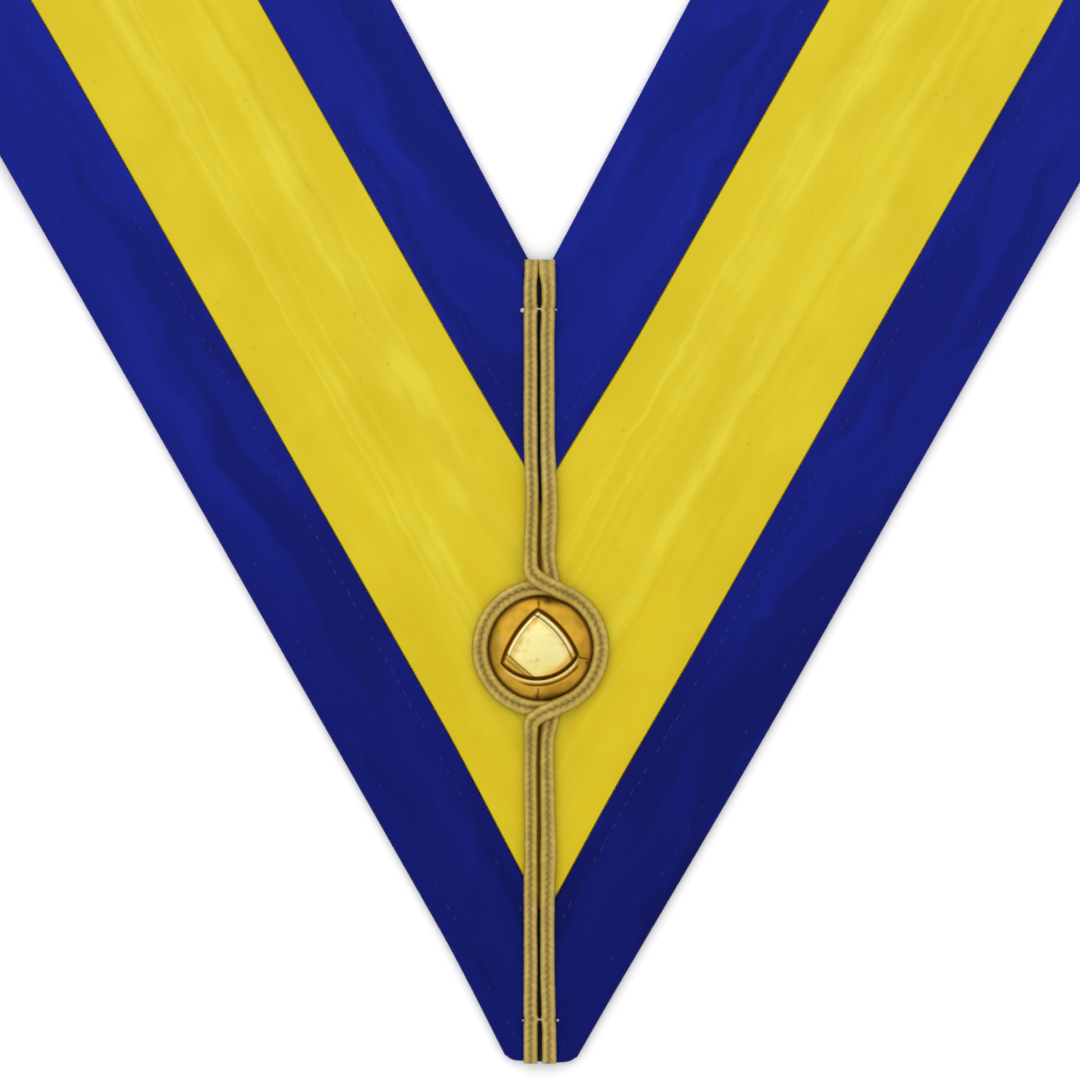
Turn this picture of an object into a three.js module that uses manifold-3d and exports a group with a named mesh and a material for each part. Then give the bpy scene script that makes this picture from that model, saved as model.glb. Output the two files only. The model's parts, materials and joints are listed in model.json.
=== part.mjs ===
// A regalia collar: a blue, yellow and blue ribbon laid flat, mitred to a point in front, folded back at
// each shoulder and carried straight across behind. Gold braid covers the front seam in two lines that
// cross above and below a domed gilt button and ring it.
// Millimetres, +Z up. The collar lies face up on z = 0 with its point towards -Y.
import * as THREE from "three";
import { mergeVertices } from "three/addons/utils/BufferGeometryUtils.js";
import Module from "manifold-3d";

const wasm = await Module();
wasm.setup();

// Ribbon, measured across
const OUTER_BAND = 25.4; // blue band along the outer edge
const CENTRE_BAND = 49.2; // yellow band, as it shows between the blue ones
const INNER_BAND = 26.6; // blue band along the inner edge, at the front point
const INNER_EASE = 2.3; // how much wider the inner band has grown
const EASE_RUN = 75; // by this far up an arm
const CLOTH = 2.6; // thickness of a blue band
const CENTRE_STEP = 0.3; // the yellow face lies this far below the blue ones
const LAP = 6; // width of the yellow margin under each blue band
const MARGIN_CLOTH = 1.15; // thickness of that margin
const CLEARANCE = 0.3; // gap between neighbouring pieces
const SEAM_GAP = 0.6; // gap between the two mitred ends

// Form of the collar
const POINT_HALF_ANGLE = THREE.MathUtils.degToRad(29.6);
const INNER_RUN = 305; // inner edge of an arm, from the front point to the shoulder fold
const TIP_CUT = 13.4; // the tip is cut off this far above the crossing of the outer edges
const TIP_RADIUS = 4.2; // round corners of the cut tip
const NOTCH_RISE = 5.1; // the inner point is filled up to here
const FOLD_RADIUS = 2.8; // inner radius of the roll at the shoulder
const FOLD_EASE = 60; // length over which an arm rises into the roll
const STEP_RUN = 70; // length over which an arm climbs onto the back band

// Braid: two cords side by side
const CORD = 2.05; // diameter of one cord
const CORD_BITE = 0.1; // how far the two cords press into each other
const BRAID_GAP = 0.9; // gap between the two lines of braid
const BRAID_OVERRUN = 0.4; // braid past the ribbon at the notch and at the tip
const KNOT_RISE = 5.2; // a braid leaves its straight line this far above the ring, at the middle of the cords
const KNOT_ANGLE = THREE.MathUtils.degToRad(24); // and joins the ring this far round from the seam
const KNOT_PULL = 0.55; // how full the bend between them is, as a share of its height
const CROSSING_HOLD = 4.2; // the upper braid stays raised this far from the crossing
const CROSSING_FALL = 6.5; // and comes down over this length

// Button
const BUTTON_RADIUS = 12.7;
const BUTTON_SIDES = 40; // facets round the button and round each arc of its raised centre
const BUTTON_RIM = 1.5; // height of the straight side
const BUTTON_CROWN = 3.9; // rise of the dome above the side
const BUTTON_DROP = 89.3; // centre of the button below the inner point
const BOSS_RISE = 1; // raised centre above the dome
const BOSS_BEVEL = 1.1; // width of the step round its face
const GROOVE_WIDTH = 0.7; // channel round the raised centre
const GROOVE_DEPTH = 0.7;
const SLIT_WIDTH = 0.5; // seams between the three outer leaves
// Corners of the raised centre as shares of the button's radius, and the bulge of the side that follows
const BOSS_CORNERS = [
  { x: -0.06, y: 0.7, bulge: 0.15 },
  { x: -0.71, y: -0.29, bulge: 0.36 },
  { x: 0.68, y: -0.13, bulge: 0.13 },
];
// Where a seam lies: degrees round from +X, and its inner end as a share of the button's radius
const SLITS = [
  { turn: 94, inner: 0.7 },
  { turn: -11, inner: 0.69 },
  { turn: -94, inner: 0.6 },
];

// Facets along each round stretch
const TIP_STEPS = 4;
const EDGE_STEPS = 4;
const ROLL_STEPS = 8;
const FOLD_EASE_STEPS = 5;
const CLIMB_STEPS = 5;
const CORD_STEPS = 7;
const KNOT_STEPS = 14;
const CROWN_STEPS = 8;

const RIBBON = INNER_BAND + CENTRE_BAND + OUTER_BAND;
const tanPoint = Math.tan(POINT_HALF_ANGLE);
const sinPoint = Math.sin(POINT_HALF_ANGLE);
const TIP_Y = TIP_CUT - RIBBON / sinPoint;

// The right arm runs along ALONG, and ACROSS points to its outer edge. The fold line lies midway between
// the arm and the back band, and TOWARDS points over it.
const ALONG = new THREE.Vector2(sinPoint, Math.cos(POINT_HALF_ANGLE));
const ACROSS = new THREE.Vector2(Math.cos(POINT_HALF_ANGLE), -sinPoint);
const FOLD_ANGLE = Math.PI / 4 + POINT_HALF_ANGLE / 2; // between an arm and its fold line
const TOWARDS = new THREE.Vector2(Math.sin(FOLD_ANGLE), Math.cos(FOLD_ANGLE));
const FOLD_LINE = new THREE.Vector2(-TOWARDS.y, TOWARDS.x);
const FOLD_AT = INNER_RUN * Math.sin(FOLD_ANGLE);
const OVERLAP_REACH = (RIBBON + INNER_EASE) / (2 * Math.cos(FOLD_ANGLE)); // arm over back band
const STEP_HEIGHT = CLOTH + 2 * CLEARANCE;
const FOLD_HEIGHT = CLOTH + 2 * FOLD_RADIUS;
const BACK_MIDDLE = (2 * FOLD_AT + Math.PI * FOLD_RADIUS) * TOWARDS.x;

const smooth = (share) => THREE.MathUtils.smoothstep(share, 0, 1);

// Evenly spaced values after from, up to and with to
function steps(from, to, count) {
  return Array.from({ length: count }, (_, i) => from + ((to - from) * (i + 1)) / count);
}

// Height of an arm's underside, past is the distance from the fold line
function armHeight(past) {
  const climb = smooth((past + OVERLAP_REACH + STEP_RUN) / STEP_RUN);
  const intoRoll = smooth((past + FOLD_EASE) / FOLD_EASE);
  return STEP_HEIGHT * climb + (FOLD_HEIGHT - STEP_HEIGHT) * intoRoll;
}

// Where a point of the ribbon lies: s along it, w across it from the inner edge, t up from its underside
function ribbonPoint(s, w, t) {
  const flat = ALONG.clone().multiplyScalar(s).addScaledVector(ACROSS, w);
  const past = flat.dot(TOWARDS) - FOLD_AT;
  const turn = THREE.MathUtils.clamp(past / FOLD_RADIUS, 0, Math.PI);
  const beyond = Math.max(0, past - Math.PI * FOLD_RADIUS);
  const reach = Math.min(past, 0) + (FOLD_RADIUS + t) * Math.sin(turn) - beyond;
  const place = FOLD_LINE.clone().multiplyScalar(flat.dot(FOLD_LINE));
  place.addScaledVector(TOWARDS, FOLD_AT + reach);
  const height = armHeight(past) - FOLD_RADIUS + (FOLD_RADIUS + t) * Math.cos(turn);
  return new THREE.Vector3(place.x, place.y, height);
}

// A closed mesh through rings of equally many points, each ring counter-clockwise seen from the next one
function loft(rings) {
  const count = rings[0].length;
  const position = rings.flat().flatMap((p) => [p.x, p.y, p.z]);
  const index = [];
  for (let r = 0; r + 1 < rings.length; r++)
    for (let i = 0; i < count; i++) {
      const a = r * count + i;
      const b = r * count + ((i + 1) % count);
      index.push(a, b, a + count, b, b + count, a + count);
    }
  return { count, position, index };
}

// Both ends of a loft are capped with the triangles of its flat outline
function capped({ count, position, index }, outline) {
  const last = position.length / 3 - count;
  for (const [a, b, c] of THREE.ShapeUtils.triangulateShape(outline, [])) {
    index.push(c, b, a);
    index.push(last + a, last + b, last + c);
  }
  const geometry = new THREE.BufferGeometry();
  geometry.setAttribute("position", new THREE.Float32BufferAttribute(position, 3));
  geometry.setIndex(index);
  return geometry;
}

// Lines across the right half of the ribbon, from the mitre to the middle of the back. Each is
// s = s0 + slope * w, with the ribbon's inner and outer limits on it.
function ribbonLines() {
  const upright = -1 / tanPoint;
  const foldwise = -1 / Math.tan(FOLD_ANGLE);
  const tipTurn = Math.PI / 2 - POINT_HALF_ANGLE;
  const tipX = TIP_CUT * tanPoint - TIP_RADIUS * Math.tan(tipTurn / 2);
  const notchX = NOTCH_RISE * tanPoint;
  const cornerX = [0, ...steps(0, tipTurn, TIP_STEPS)].map((turn) => tipX + TIP_RADIUS * Math.sin(turn));
  const tipY = (x) => {
    if (x <= tipX) return TIP_Y;
    const rise = TIP_RADIUS ** 2 - (x - tipX) ** 2;
    return rise > 0 ? TIP_Y + TIP_RADIUS - Math.sqrt(rise) : -Infinity;
  };
  const easeAt = (s) => -INNER_EASE * THREE.MathUtils.clamp(s / EASE_RUN, 0, 1);
  const nearTip = [SEAM_GAP / 2, notchX, ...cornerX].sort((a, b) => a - b);
  const lines = [...nearTip, EASE_RUN * sinPoint].map((x) => {
    const acrossAt = (y) => (x / tanPoint - y) * sinPoint;
    return {
      s0: x / sinPoint,
      slope: upright,
      inner: Math.min(easeAt(x / sinPoint), acrossAt(NOTCH_RISE)),
      outer: Math.min(RIBBON, acrossAt(tipY(x))),
    };
  });
  const flatEnd = -OVERLAP_REACH - STEP_RUN;
  const roll = Math.PI * FOLD_RADIUS;
  const past = [
    flatEnd,
    ...steps(flatEnd, -OVERLAP_REACH, CLIMB_STEPS),
    -FOLD_EASE,
    ...steps(-FOLD_EASE, 0, FOLD_EASE_STEPS),
    ...steps(0, roll, ROLL_STEPS),
  ];
  for (const p of past)
    lines.push({
      s0: (FOLD_AT + p) / Math.sin(FOLD_ANGLE),
      slope: foldwise,
      inner: -INNER_EASE,
      outer: RIBBON,
    });
  lines.push({ s0: BACK_MIDDLE, slope: 0, inner: -INNER_EASE, outer: RIBBON });
  return lines;
}

// A band of the ribbon all the way round, from the left mitre to the right one
function band(outlineAt) {
  const lines = ribbonLines();
  const right = lines.map((line) =>
    outlineAt(line.inner, line.outer).map(([w, t]) => ribbonPoint(line.s0 + line.slope * w, w, t)),
  );
  const left = right.slice(0, -1).map((ring) => ring.map((p) => new THREE.Vector3(-p.x, p.y, p.z)));
  const outline = outlineAt(lines[0].inner, lines[0].outer).map(([w, t]) => new THREE.Vector2(w, t));
  return capped(loft([...left, ...right.reverse()]), outline);
}

// A turned-in edge at w, facing the way that side says, as a half round from the underside up
function roundEdge(w, side) {
  const radius = CLOTH / 2;
  return [0, ...steps(0, Math.PI, EDGE_STEPS)].map((turn) => [
    w + side * radius * (Math.sin(turn) - 1),
    radius * (1 - Math.cos(turn)),
  ]);
}

const YELLOW_FROM = INNER_BAND;
const YELLOW_TO = INNER_BAND + CENTRE_BAND;
const LAP_UNDERSIDE = MARGIN_CLOTH + CLEARANCE;

const innerBand = () =>
  band((inner) => [
    ...roundEdge(inner, -1).reverse(),
    [YELLOW_FROM - LAP - CLEARANCE, 0],
    [YELLOW_FROM - LAP - CLEARANCE, LAP_UNDERSIDE],
    [YELLOW_FROM, LAP_UNDERSIDE],
    [YELLOW_FROM, CLOTH],
  ]);

const centreBand = () =>
  band(() => [
    [YELLOW_FROM - LAP, 0],
    [YELLOW_TO + LAP, 0],
    [YELLOW_TO + LAP, MARGIN_CLOTH],
    [YELLOW_TO - CLEARANCE, MARGIN_CLOTH],
    [YELLOW_TO - CLEARANCE, CLOTH - CENTRE_STEP],
    [YELLOW_FROM + CLEARANCE, CLOTH - CENTRE_STEP],
    [YELLOW_FROM + CLEARANCE, MARGIN_CLOTH],
    [YELLOW_FROM - LAP, MARGIN_CLOTH],
  ]);

const outerBand = () =>
  band((_, outer) => [
    [YELLOW_TO + LAP + CLEARANCE, 0],
    ...roundEdge(outer, 1),
    [YELLOW_TO, CLOTH],
    [YELLOW_TO, LAP_UNDERSIDE],
    [YELLOW_TO + LAP + CLEARANCE, LAP_UNDERSIDE],
  ]);

const BRAID_WIDTH = 2 * CORD - CORD_BITE;
const BRAID_OFFSET = (BRAID_WIDTH + BRAID_GAP) / 2;
const RING_RADIUS = BUTTON_RADIUS + CLEARANCE + BRAID_WIDTH / 2;
const BRAID_SEAT = CLOTH + CLEARANCE + CORD / 2;

// Outline of the two cords, counter-clockwise, across and up
function braidOutline() {
  const radius = CORD / 2;
  const centre = (CORD - CORD_BITE) / 2;
  const waist = Math.PI - Math.acos(centre / radius);
  const lobe = [-waist, ...steps(-waist, waist, CORD_STEPS)].map((turn) => [
    centre + radius * Math.cos(turn),
    radius * Math.sin(turn),
  ]);
  const other = lobe.slice(1, -1).map(([across, up]) => [-across, -up]);
  return [...lobe, ...other];
}

// The line of a braid seen from above, round the side of the button that side says
function braidRoute(side) {
  const turnIn = (up) => {
    const onRing = new THREE.Vector2(Math.sin(KNOT_ANGLE), up * Math.cos(KNOT_ANGLE));
    const tangent = new THREE.Vector2(up * onRing.y, -up * onRing.x);
    onRing.multiplyScalar(RING_RADIUS);
    const leave = new THREE.Vector2(-BRAID_OFFSET, up * (RING_RADIUS + KNOT_RISE));
    const pull = (leave.y - onRing.y) * up * KNOT_PULL;
    return new THREE.CubicBezierCurve(
      leave,
      new THREE.Vector2(leave.x, leave.y - up * pull),
      onRing.clone().addScaledVector(tangent, -pull),
      onRing,
    ).getPoints(KNOT_STEPS);
  };
  const arc = steps(KNOT_ANGLE, Math.PI - KNOT_ANGLE, KNOT_STEPS).map(
    (turn) => new THREE.Vector2(Math.sin(turn), Math.cos(turn)).multiplyScalar(RING_RADIUS),
  );
  const route = [
    new THREE.Vector2(-BRAID_OFFSET, BUTTON_DROP + NOTCH_RISE + BRAID_OVERRUN),
    ...turnIn(1),
    ...arc,
    ...turnIn(-1).reverse().slice(1),
    new THREE.Vector2(-BRAID_OFFSET, BUTTON_DROP + TIP_Y - BRAID_OVERRUN),
  ];
  return route.map((p) => new THREE.Vector2(side * p.x, p.y));
}

// A braid along its route, raised over the other one where they cross if over is true
function braid(side, over) {
  const route = braidRoute(side);
  const outline = braidOutline();
  const crossings = route.filter((p, i) => i > 0 && p.x * route[i - 1].x <= 0);
  const rise = (p) => {
    if (!over) return 0;
    const away = Math.min(...crossings.map((c) => p.distanceTo(new THREE.Vector2(0, c.y))));
    return (CORD + CLEARANCE) * smooth(1 - (away - CROSSING_HOLD) / CROSSING_FALL);
  };
  const rings = route.map((p, i) => {
    const before = route[Math.max(i - 1, 0)];
    const after = route[Math.min(i + 1, route.length - 1)];
    const forward = after.clone().sub(before).normalize();
    return outline.map(
      ([across, up]) =>
        new THREE.Vector3(
          p.x - forward.y * across,
          p.y + forward.x * across - BUTTON_DROP,
          BRAID_SEAT + rise(p) + up,
        ),
    );
  });
  return capped(
    loft(rings),
    outline.map(([across, up]) => new THREE.Vector2(across, up)),
  );
}

function solidOf(geometry) {
  const bare = geometry.clone();
  bare.deleteAttribute("normal");
  bare.deleteAttribute("uv");
  const merged = mergeVertices(bare, 1e-4);
  return new wasm.Manifold(
    new wasm.Mesh({
      numProp: 3,
      vertProperties: new Float32Array(merged.attributes.position.array),
      triVerts: new Uint32Array(merged.index.array),
    }),
  );
}

function geometryOf(solid) {
  const mesh = solid.getMesh();
  const geometry = new THREE.BufferGeometry();
  geometry.setAttribute("position", new THREE.BufferAttribute(mesh.vertProperties, 3));
  geometry.setIndex(new THREE.BufferAttribute(mesh.triVerts, 1));
  return geometry;
}

// A turned dome of the button's outline, with its crown raised or sunk by extra
function dome(extra) {
  const crown = BUTTON_CROWN + extra;
  const profile = [new THREE.Vector2(0, 0), new THREE.Vector2(BUTTON_RADIUS, 0)];
  for (const turn of [0, ...steps(0, Math.PI / 2, CROWN_STEPS)]) {
    const height = BUTTON_RIM + crown * Math.sin(turn) ** 2;
    profile.push(new THREE.Vector2(BUTTON_RADIUS * Math.cos(turn), height));
  }
  return solidOf(new THREE.LatheGeometry(profile, BUTTON_SIDES).rotateX(Math.PI / 2));
}

// A tall prism of the raised centre's outline, grown outwards by grow. Each bulging side is a disc's edge.
function bossPrism(grow) {
  const tall = 2 * (BUTTON_RIM + BUTTON_CROWN + BOSS_RISE);
  const corners = bossCorners();
  const discs = corners.map((from, i) => {
    const to = corners[(i + 1) % corners.length];
    const chord = to.clone().sub(from);
    const rise = BOSS_CORNERS[i].bulge * BUTTON_RADIUS;
    const radius = (chord.lengthSq() / 4 + rise * rise) / (2 * rise);
    const outwards = new THREE.Vector2(chord.y, -chord.x).normalize();
    const centre = from.clone().lerp(to, 0.5).addScaledVector(outwards, rise - radius);
    const disc = new THREE.CylinderGeometry(radius + grow, radius + grow, tall, BUTTON_SIDES);
    return solidOf(disc.rotateX(Math.PI / 2).translate(centre.x, centre.y, 0));
  });
  return discs.reduce((shared, disc) => shared.intersect(disc));
}

function bossCorners() {
  return BOSS_CORNERS.map(({ x, y }) => new THREE.Vector2(x, y).multiplyScalar(BUTTON_RADIUS));
}

// A thin upright blade from a seam's inner end out past the rim
function slitBlade({ turn, inner }) {
  const from = inner * BUTTON_RADIUS;
  const run = BUTTON_RADIUS + SLIT_WIDTH - from;
  const blade = new THREE.BoxGeometry(run, SLIT_WIDTH, 4 * BUTTON_CROWN).translate(from + run / 2, 0, 0);
  return solidOf(blade.rotateZ(THREE.MathUtils.degToRad(turn)));
}

// Channel and slits are cut down to a lower dome, and the raised centre has a bevelled step round it
function button() {
  const channel = bossPrism(GROOVE_WIDTH).subtract(bossPrism(0));
  const cuts = SLITS.reduce((solid, slit) => solid.add(slitBlade(slit)), channel);
  const leaves = dome(0).subtract(cuts.subtract(dome(-GROOVE_DEPTH)));
  const lowerStep = bossPrism(0).intersect(dome(BOSS_RISE - BOSS_BEVEL / 2));
  const upperStep = bossPrism(-BOSS_BEVEL).intersect(dome(BOSS_RISE));
  return geometryOf(leaves.add(lowerStep).add(upperStep));
}

const blueMoire = new THREE.MeshStandardMaterial({ color: 0x1b2285, roughness: 0.6, metalness: 0 });
const yellowMoire = new THREE.MeshStandardMaterial({ color: 0xddc82a, roughness: 0.6, metalness: 0 });
const goldBraid = new THREE.MeshStandardMaterial({ color: 0xc0a650, roughness: 0.5, metalness: 0.6 });
const gilt = new THREE.MeshStandardMaterial({ color: 0xd9a62b, roughness: 0.25, metalness: 1 });

const collar = new THREE.Group();

function add(name, geometry, material) {
  const mesh = new THREE.Mesh(geometry, material);
  mesh.name = name;
  collar.add(mesh);
  return mesh;
}

add("inner_blue_band", innerBand(), blueMoire);
add("centre_yellow_band", centreBand(), yellowMoire);
add("outer_blue_band", outerBand(), blueMoire);
add("upper_braid", braid(1, true), goldBraid);
add("under_braid", braid(-1, false), goldBraid);
add("gilt_button", button(), gilt).position.set(0, -BUTTON_DROP, CLOTH + CLEARANCE);

// The origin is under the middle of the collar's extent
const extent = new THREE.Box3().setFromObject(collar);
collar.position.y = -(extent.min.y + extent.max.y) / 2;

export default collar;
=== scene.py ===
"""A masonic collar: a blue, yellow and blue ribbon laid flat in a point, with gold braid and a gilt button.

Metres, +Z up. The collar lies face up on z = 0 with its point towards -Y, and is seen from straight above.
"""

import json
import math

import bmesh
import bpy
import numpy as np
from bpy.props import FloatProperty, FloatVectorProperty, IntProperty, PointerProperty
from bpy.types import Operator, Panel, PropertyGroup
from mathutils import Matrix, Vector

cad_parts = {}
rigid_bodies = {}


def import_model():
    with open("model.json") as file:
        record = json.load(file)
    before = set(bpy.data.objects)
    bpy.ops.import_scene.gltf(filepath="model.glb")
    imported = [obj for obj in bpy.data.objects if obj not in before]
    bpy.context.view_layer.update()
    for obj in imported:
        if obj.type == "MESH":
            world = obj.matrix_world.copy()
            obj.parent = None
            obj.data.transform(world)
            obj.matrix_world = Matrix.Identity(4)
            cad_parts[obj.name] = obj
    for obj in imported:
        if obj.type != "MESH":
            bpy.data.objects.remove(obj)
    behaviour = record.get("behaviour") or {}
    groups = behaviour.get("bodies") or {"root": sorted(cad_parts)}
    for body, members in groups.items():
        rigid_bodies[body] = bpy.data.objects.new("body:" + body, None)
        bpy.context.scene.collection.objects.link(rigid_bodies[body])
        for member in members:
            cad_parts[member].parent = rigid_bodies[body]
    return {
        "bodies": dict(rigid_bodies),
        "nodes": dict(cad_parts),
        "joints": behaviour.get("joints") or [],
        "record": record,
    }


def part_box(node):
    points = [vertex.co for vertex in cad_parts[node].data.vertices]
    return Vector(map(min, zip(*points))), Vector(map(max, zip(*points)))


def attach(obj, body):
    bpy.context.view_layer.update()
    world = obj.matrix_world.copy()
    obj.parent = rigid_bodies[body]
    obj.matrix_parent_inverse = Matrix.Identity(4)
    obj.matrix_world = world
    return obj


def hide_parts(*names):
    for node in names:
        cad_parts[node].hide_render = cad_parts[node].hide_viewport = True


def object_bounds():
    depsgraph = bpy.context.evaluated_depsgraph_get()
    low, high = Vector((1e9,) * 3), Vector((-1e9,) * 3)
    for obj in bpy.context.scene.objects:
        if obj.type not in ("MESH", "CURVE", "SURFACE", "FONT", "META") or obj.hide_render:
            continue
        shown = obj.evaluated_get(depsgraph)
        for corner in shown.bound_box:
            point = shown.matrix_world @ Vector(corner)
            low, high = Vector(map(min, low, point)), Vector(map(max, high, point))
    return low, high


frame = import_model()
CAD_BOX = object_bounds()

bl_info = {
    "name": "Masonic Collar",
    "version": (1, 0, 0),
    "blender": (4, 5, 0),
    "location": "View3D > Sidebar > Collar",
    "description": "Builds a flat laid ribbon collar with gold braid and a gilt button",
    "category": "Add Mesh",
}

MM = 0.001

# Ribbon, measured across
OUTER_BAND = 25.4 * MM
CENTRE_BAND = 49.2 * MM
INNER_BAND = 26.6 * MM
INNER_EASE = 2.3 * MM  # how much wider the inner band has grown
EASE_RUN = 75 * MM  # by this far up an arm
CLOTH = 2.6 * MM
CENTRE_STEP = 0.3 * MM  # the yellow face lies this far below the blue ones
LAP = 6 * MM  # width of the yellow margin under each blue band
MARGIN_CLOTH = 1.15 * MM  # thickness of that margin
CLEARANCE = 0.3 * MM  # between pieces that lie on or beside each other
SEAM_GAP = 0.02 * MM  # between the two arms along the mitre
SEAM_DIP = 0.34  # share of the cloth's height lost where the two arms are sewn together
SEAM_REACH = 0.8 * MM  # half width of that dip
SEAM_SHADE_SHIFT = 0.35 * MM  # the seam's shade lies this far left of the middle
SEAM_SHADE_FULL = 0.4 * MM  # it is full up to here on either side
SEAM_SHADE_END = 1.1 * MM
SEAM_SHADE_RUN = 20 * MM  # it fades out from y = 0 over this length, so there is none behind
LIP_ROUND = 0.55 * MM  # rounding of a blue band's edge over the yellow
TREMBLE = 1.6 * MM  # small sideways shake of the water marks
LAP_UNDERSIDE = MARGIN_CLOTH + CLEARANCE
RIBBON = INNER_BAND + CENTRE_BAND + OUTER_BAND
YELLOW_FROM = INNER_BAND
YELLOW_TO = INNER_BAND + CENTRE_BAND
# How far each arm is pulled in (less than 0) or out, at the inner edge and past each band
PULL_AT = (0, YELLOW_FROM, YELLOW_TO, RIBBON)
LEFT_PULL = (0, -1.1 * MM, -2.4 * MM, -2.4 * MM)
RIGHT_PULL = (0, 0.7 * MM, 1.9 * MM, 1.6 * MM)
RIGHT_PULL_FROM = -165 * MM  # the right arm's pull grows from here, along the ribbon
RIGHT_PULL_RUN = 110 * MM
# The same beside the braid, along the mitre
LEFT_MITRE_PULL = (0, -0.85 * MM, -0.3 * MM, 0)
RIGHT_MITRE_PULL = (0, -0.55 * MM, 1.1 * MM, 0)
PULL_FADE = 26 * MM  # distance from the mitre where the first kind has replaced the second
UNDER_BRAID = 3.5 * MM  # distance from the mitre where the second kind is full

# Form of the collar
POINT_HALF_ANGLE = math.radians(29.6)
INNER_RUN = 305 * MM  # inner edge of an arm, from the front point to the shoulder fold
TIP_CUT = 13.4 * MM  # the tip is cut off this far above the crossing of the outer edges
TIP_RADIUS = 4.2 * MM
NOTCH_RISE = 5.1 * MM  # the inner point is filled up to here
FOLD_RADIUS = 2.8 * MM
FOLD_EASE = 60 * MM  # length over which an arm rises into the roll
STEP_RUN = 70 * MM  # length over which an arm climbs onto the back band
FRONT_RUN = 100 * MM  # the pull on the arms fades from here to twice as far up
TIP_DRAW = 1.3 * MM  # the sewn tip has drawn up by this much
SIN_POINT = math.sin(POINT_HALF_ANGLE)
COS_POINT = math.cos(POINT_HALF_ANGLE)
TAN_POINT = math.tan(POINT_HALF_ANGLE)
TIP_Y = TIP_CUT - RIBBON / SIN_POINT
ALONG = np.array((SIN_POINT, COS_POINT))
ACROSS = np.array((COS_POINT, -SIN_POINT))
FOLD_ANGLE = math.pi / 4 + POINT_HALF_ANGLE / 2  # between an arm and its fold line
TOWARDS = np.array((math.sin(FOLD_ANGLE), math.cos(FOLD_ANGLE)))
FOLD_LINE = np.array((-TOWARDS[1], TOWARDS[0]))
FOLD_AT = INNER_RUN * TOWARDS[0]
ROLL = math.pi * FOLD_RADIUS
OVERLAP_REACH = (RIBBON + INNER_EASE) / (2 * TOWARDS[1])
STEP_HEIGHT = CLOTH + 2 * CLEARANCE
FOLD_HEIGHT = CLOTH + 2 * FOLD_RADIUS
BACK_MIDDLE = (2 * FOLD_AT + ROLL) * TOWARDS[0]
INNER_POINT_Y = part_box("outer_blue_band")[0].y - TIP_Y
TINT_FADE = 8 * MM  # length over which the braid takes on the yellow's reflection
# The yellow lies under the braid from the first of these down to the second
YELLOW_TOP_Y = INNER_POINT_Y - YELLOW_FROM / SIN_POINT + TINT_FADE
YELLOW_TIP_Y = INNER_POINT_Y - YELLOW_TO / SIN_POINT
TIP_SHADE_FROM = INNER_POINT_Y + TIP_Y + 10 * MM  # painted shade: from here up to the next height the ribbon's colours go from deep to full; below here they stay deep
TIP_SHADE_TO = INNER_POINT_Y + 60 * MM

# Braid: two cords side by side
CORD = 2.05 * MM
CORD_BITE = 0.1 * MM  # the two cords press this far into each other
BRAID_GAP = 0.9 * MM  # between the left and the right line
BRAID_OVERRUN = 0.4 * MM  # past the ribbon, at the notch and at the tip
BRAID_WIDTH = 2 * CORD - CORD_BITE
BRAID_OFFSET = (BRAID_WIDTH + BRAID_GAP) / 2
LINE_SQUEEZE = (0.15, 0.11)  # the left and the right line are this much narrower than the ring
LINE_MIDDLES = (-BRAID_OFFSET, BRAID_OFFSET - 0.76 * MM)  # x of the left and of the right line
WEB_HEIGHT = 0.55 * MM  # threads that fill the groove between the two cords
WEB_REACH = 0.3 * MM
# Bends of each braid above (1) and below (-1) the button: how far from the ring it leaves its straight
# line, where it joins the ring in degrees from the middle, and how long it holds its direction at each
OVER_BENDS = {1: (5.2 * MM, 26, 3.2 * MM, 4.6 * MM), -1: (4.4 * MM, 25, 2.8 * MM, 4.0 * MM)}
UNDER_BENDS = {1: (4.5 * MM, -5, 3.0 * MM, 2.6 * MM), -1: (4.2 * MM, -5, 2.8 * MM, 2.4 * MM)}
CROSSING_HOLD = 4.2 * MM  # the upper braid stays up this far from the middle of a crossing
CROSSING_FALL = 6.5 * MM  # and comes down over this length
BRAID_SEAT = CLOTH + CLEARANCE + CORD / 2
TOP_TACK_Y = -6.6 * MM  # below the inner point
TIP_TACK_Y = -179.8 * MM  # counted in the same way
TACK_PINCH = 0.75 * MM  # half the length of braid that a tack pinches in
BRAID_STEP = 0.21 * MM  # distance between the mesh rings of a braid
# Where a line of braid is wider, or lies further right: y from the inner point, and half the length
LOOSE_SPOTS = ((-57 * MM, 12 * MM), (-139 * MM, 10 * MM))  # of the right line only
BOWED_SPOT = (-53 * MM, 9 * MM)
TOP_BOWED_SPOT = (-4 * MM, 7 * MM)  # of the right line only
TIP_SHIFT = 0.45 * MM  # the right line lies this much further out at the tip
TIP_SHIFT_Y = -168 * MM
TIP_SHIFT_RUN = 16 * MM

# Seeds of the random values, so that each run makes the same collar
SWELL_SEED = 11
PUCKER_SEED = 20
KNOT_SEED = 30
BUTTON_SEED = 61

# Button
BUTTON_LOW, BUTTON_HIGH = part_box("gilt_button")
BUTTON_CENTRE = (BUTTON_LOW + BUTTON_HIGH) / 2
BUTTON_RADIUS = (BUTTON_HIGH.x - BUTTON_LOW.x) / 2
BUTTON_DROP = INNER_POINT_Y - BUTTON_CENTRE.y
RING_GAP = 0.1 * MM  # between the button and the ring of braid
RING_RADIUS = BUTTON_RADIUS + RING_GAP + BRAID_WIDTH / 2

# Stage
AIM = (-0.12 * MM, -103.1 * MM, 0)  # middle of the camera's view
LAMP_FROM_AIM = (-0.35, 0.95, 1.35)
LAMP_SIZE = 2.2


def ease(share):
    """Smooth step from 0 to 1."""
    held = np.clip(share, 0, 1)
    return held * held * (3 - 2 * held)


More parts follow.
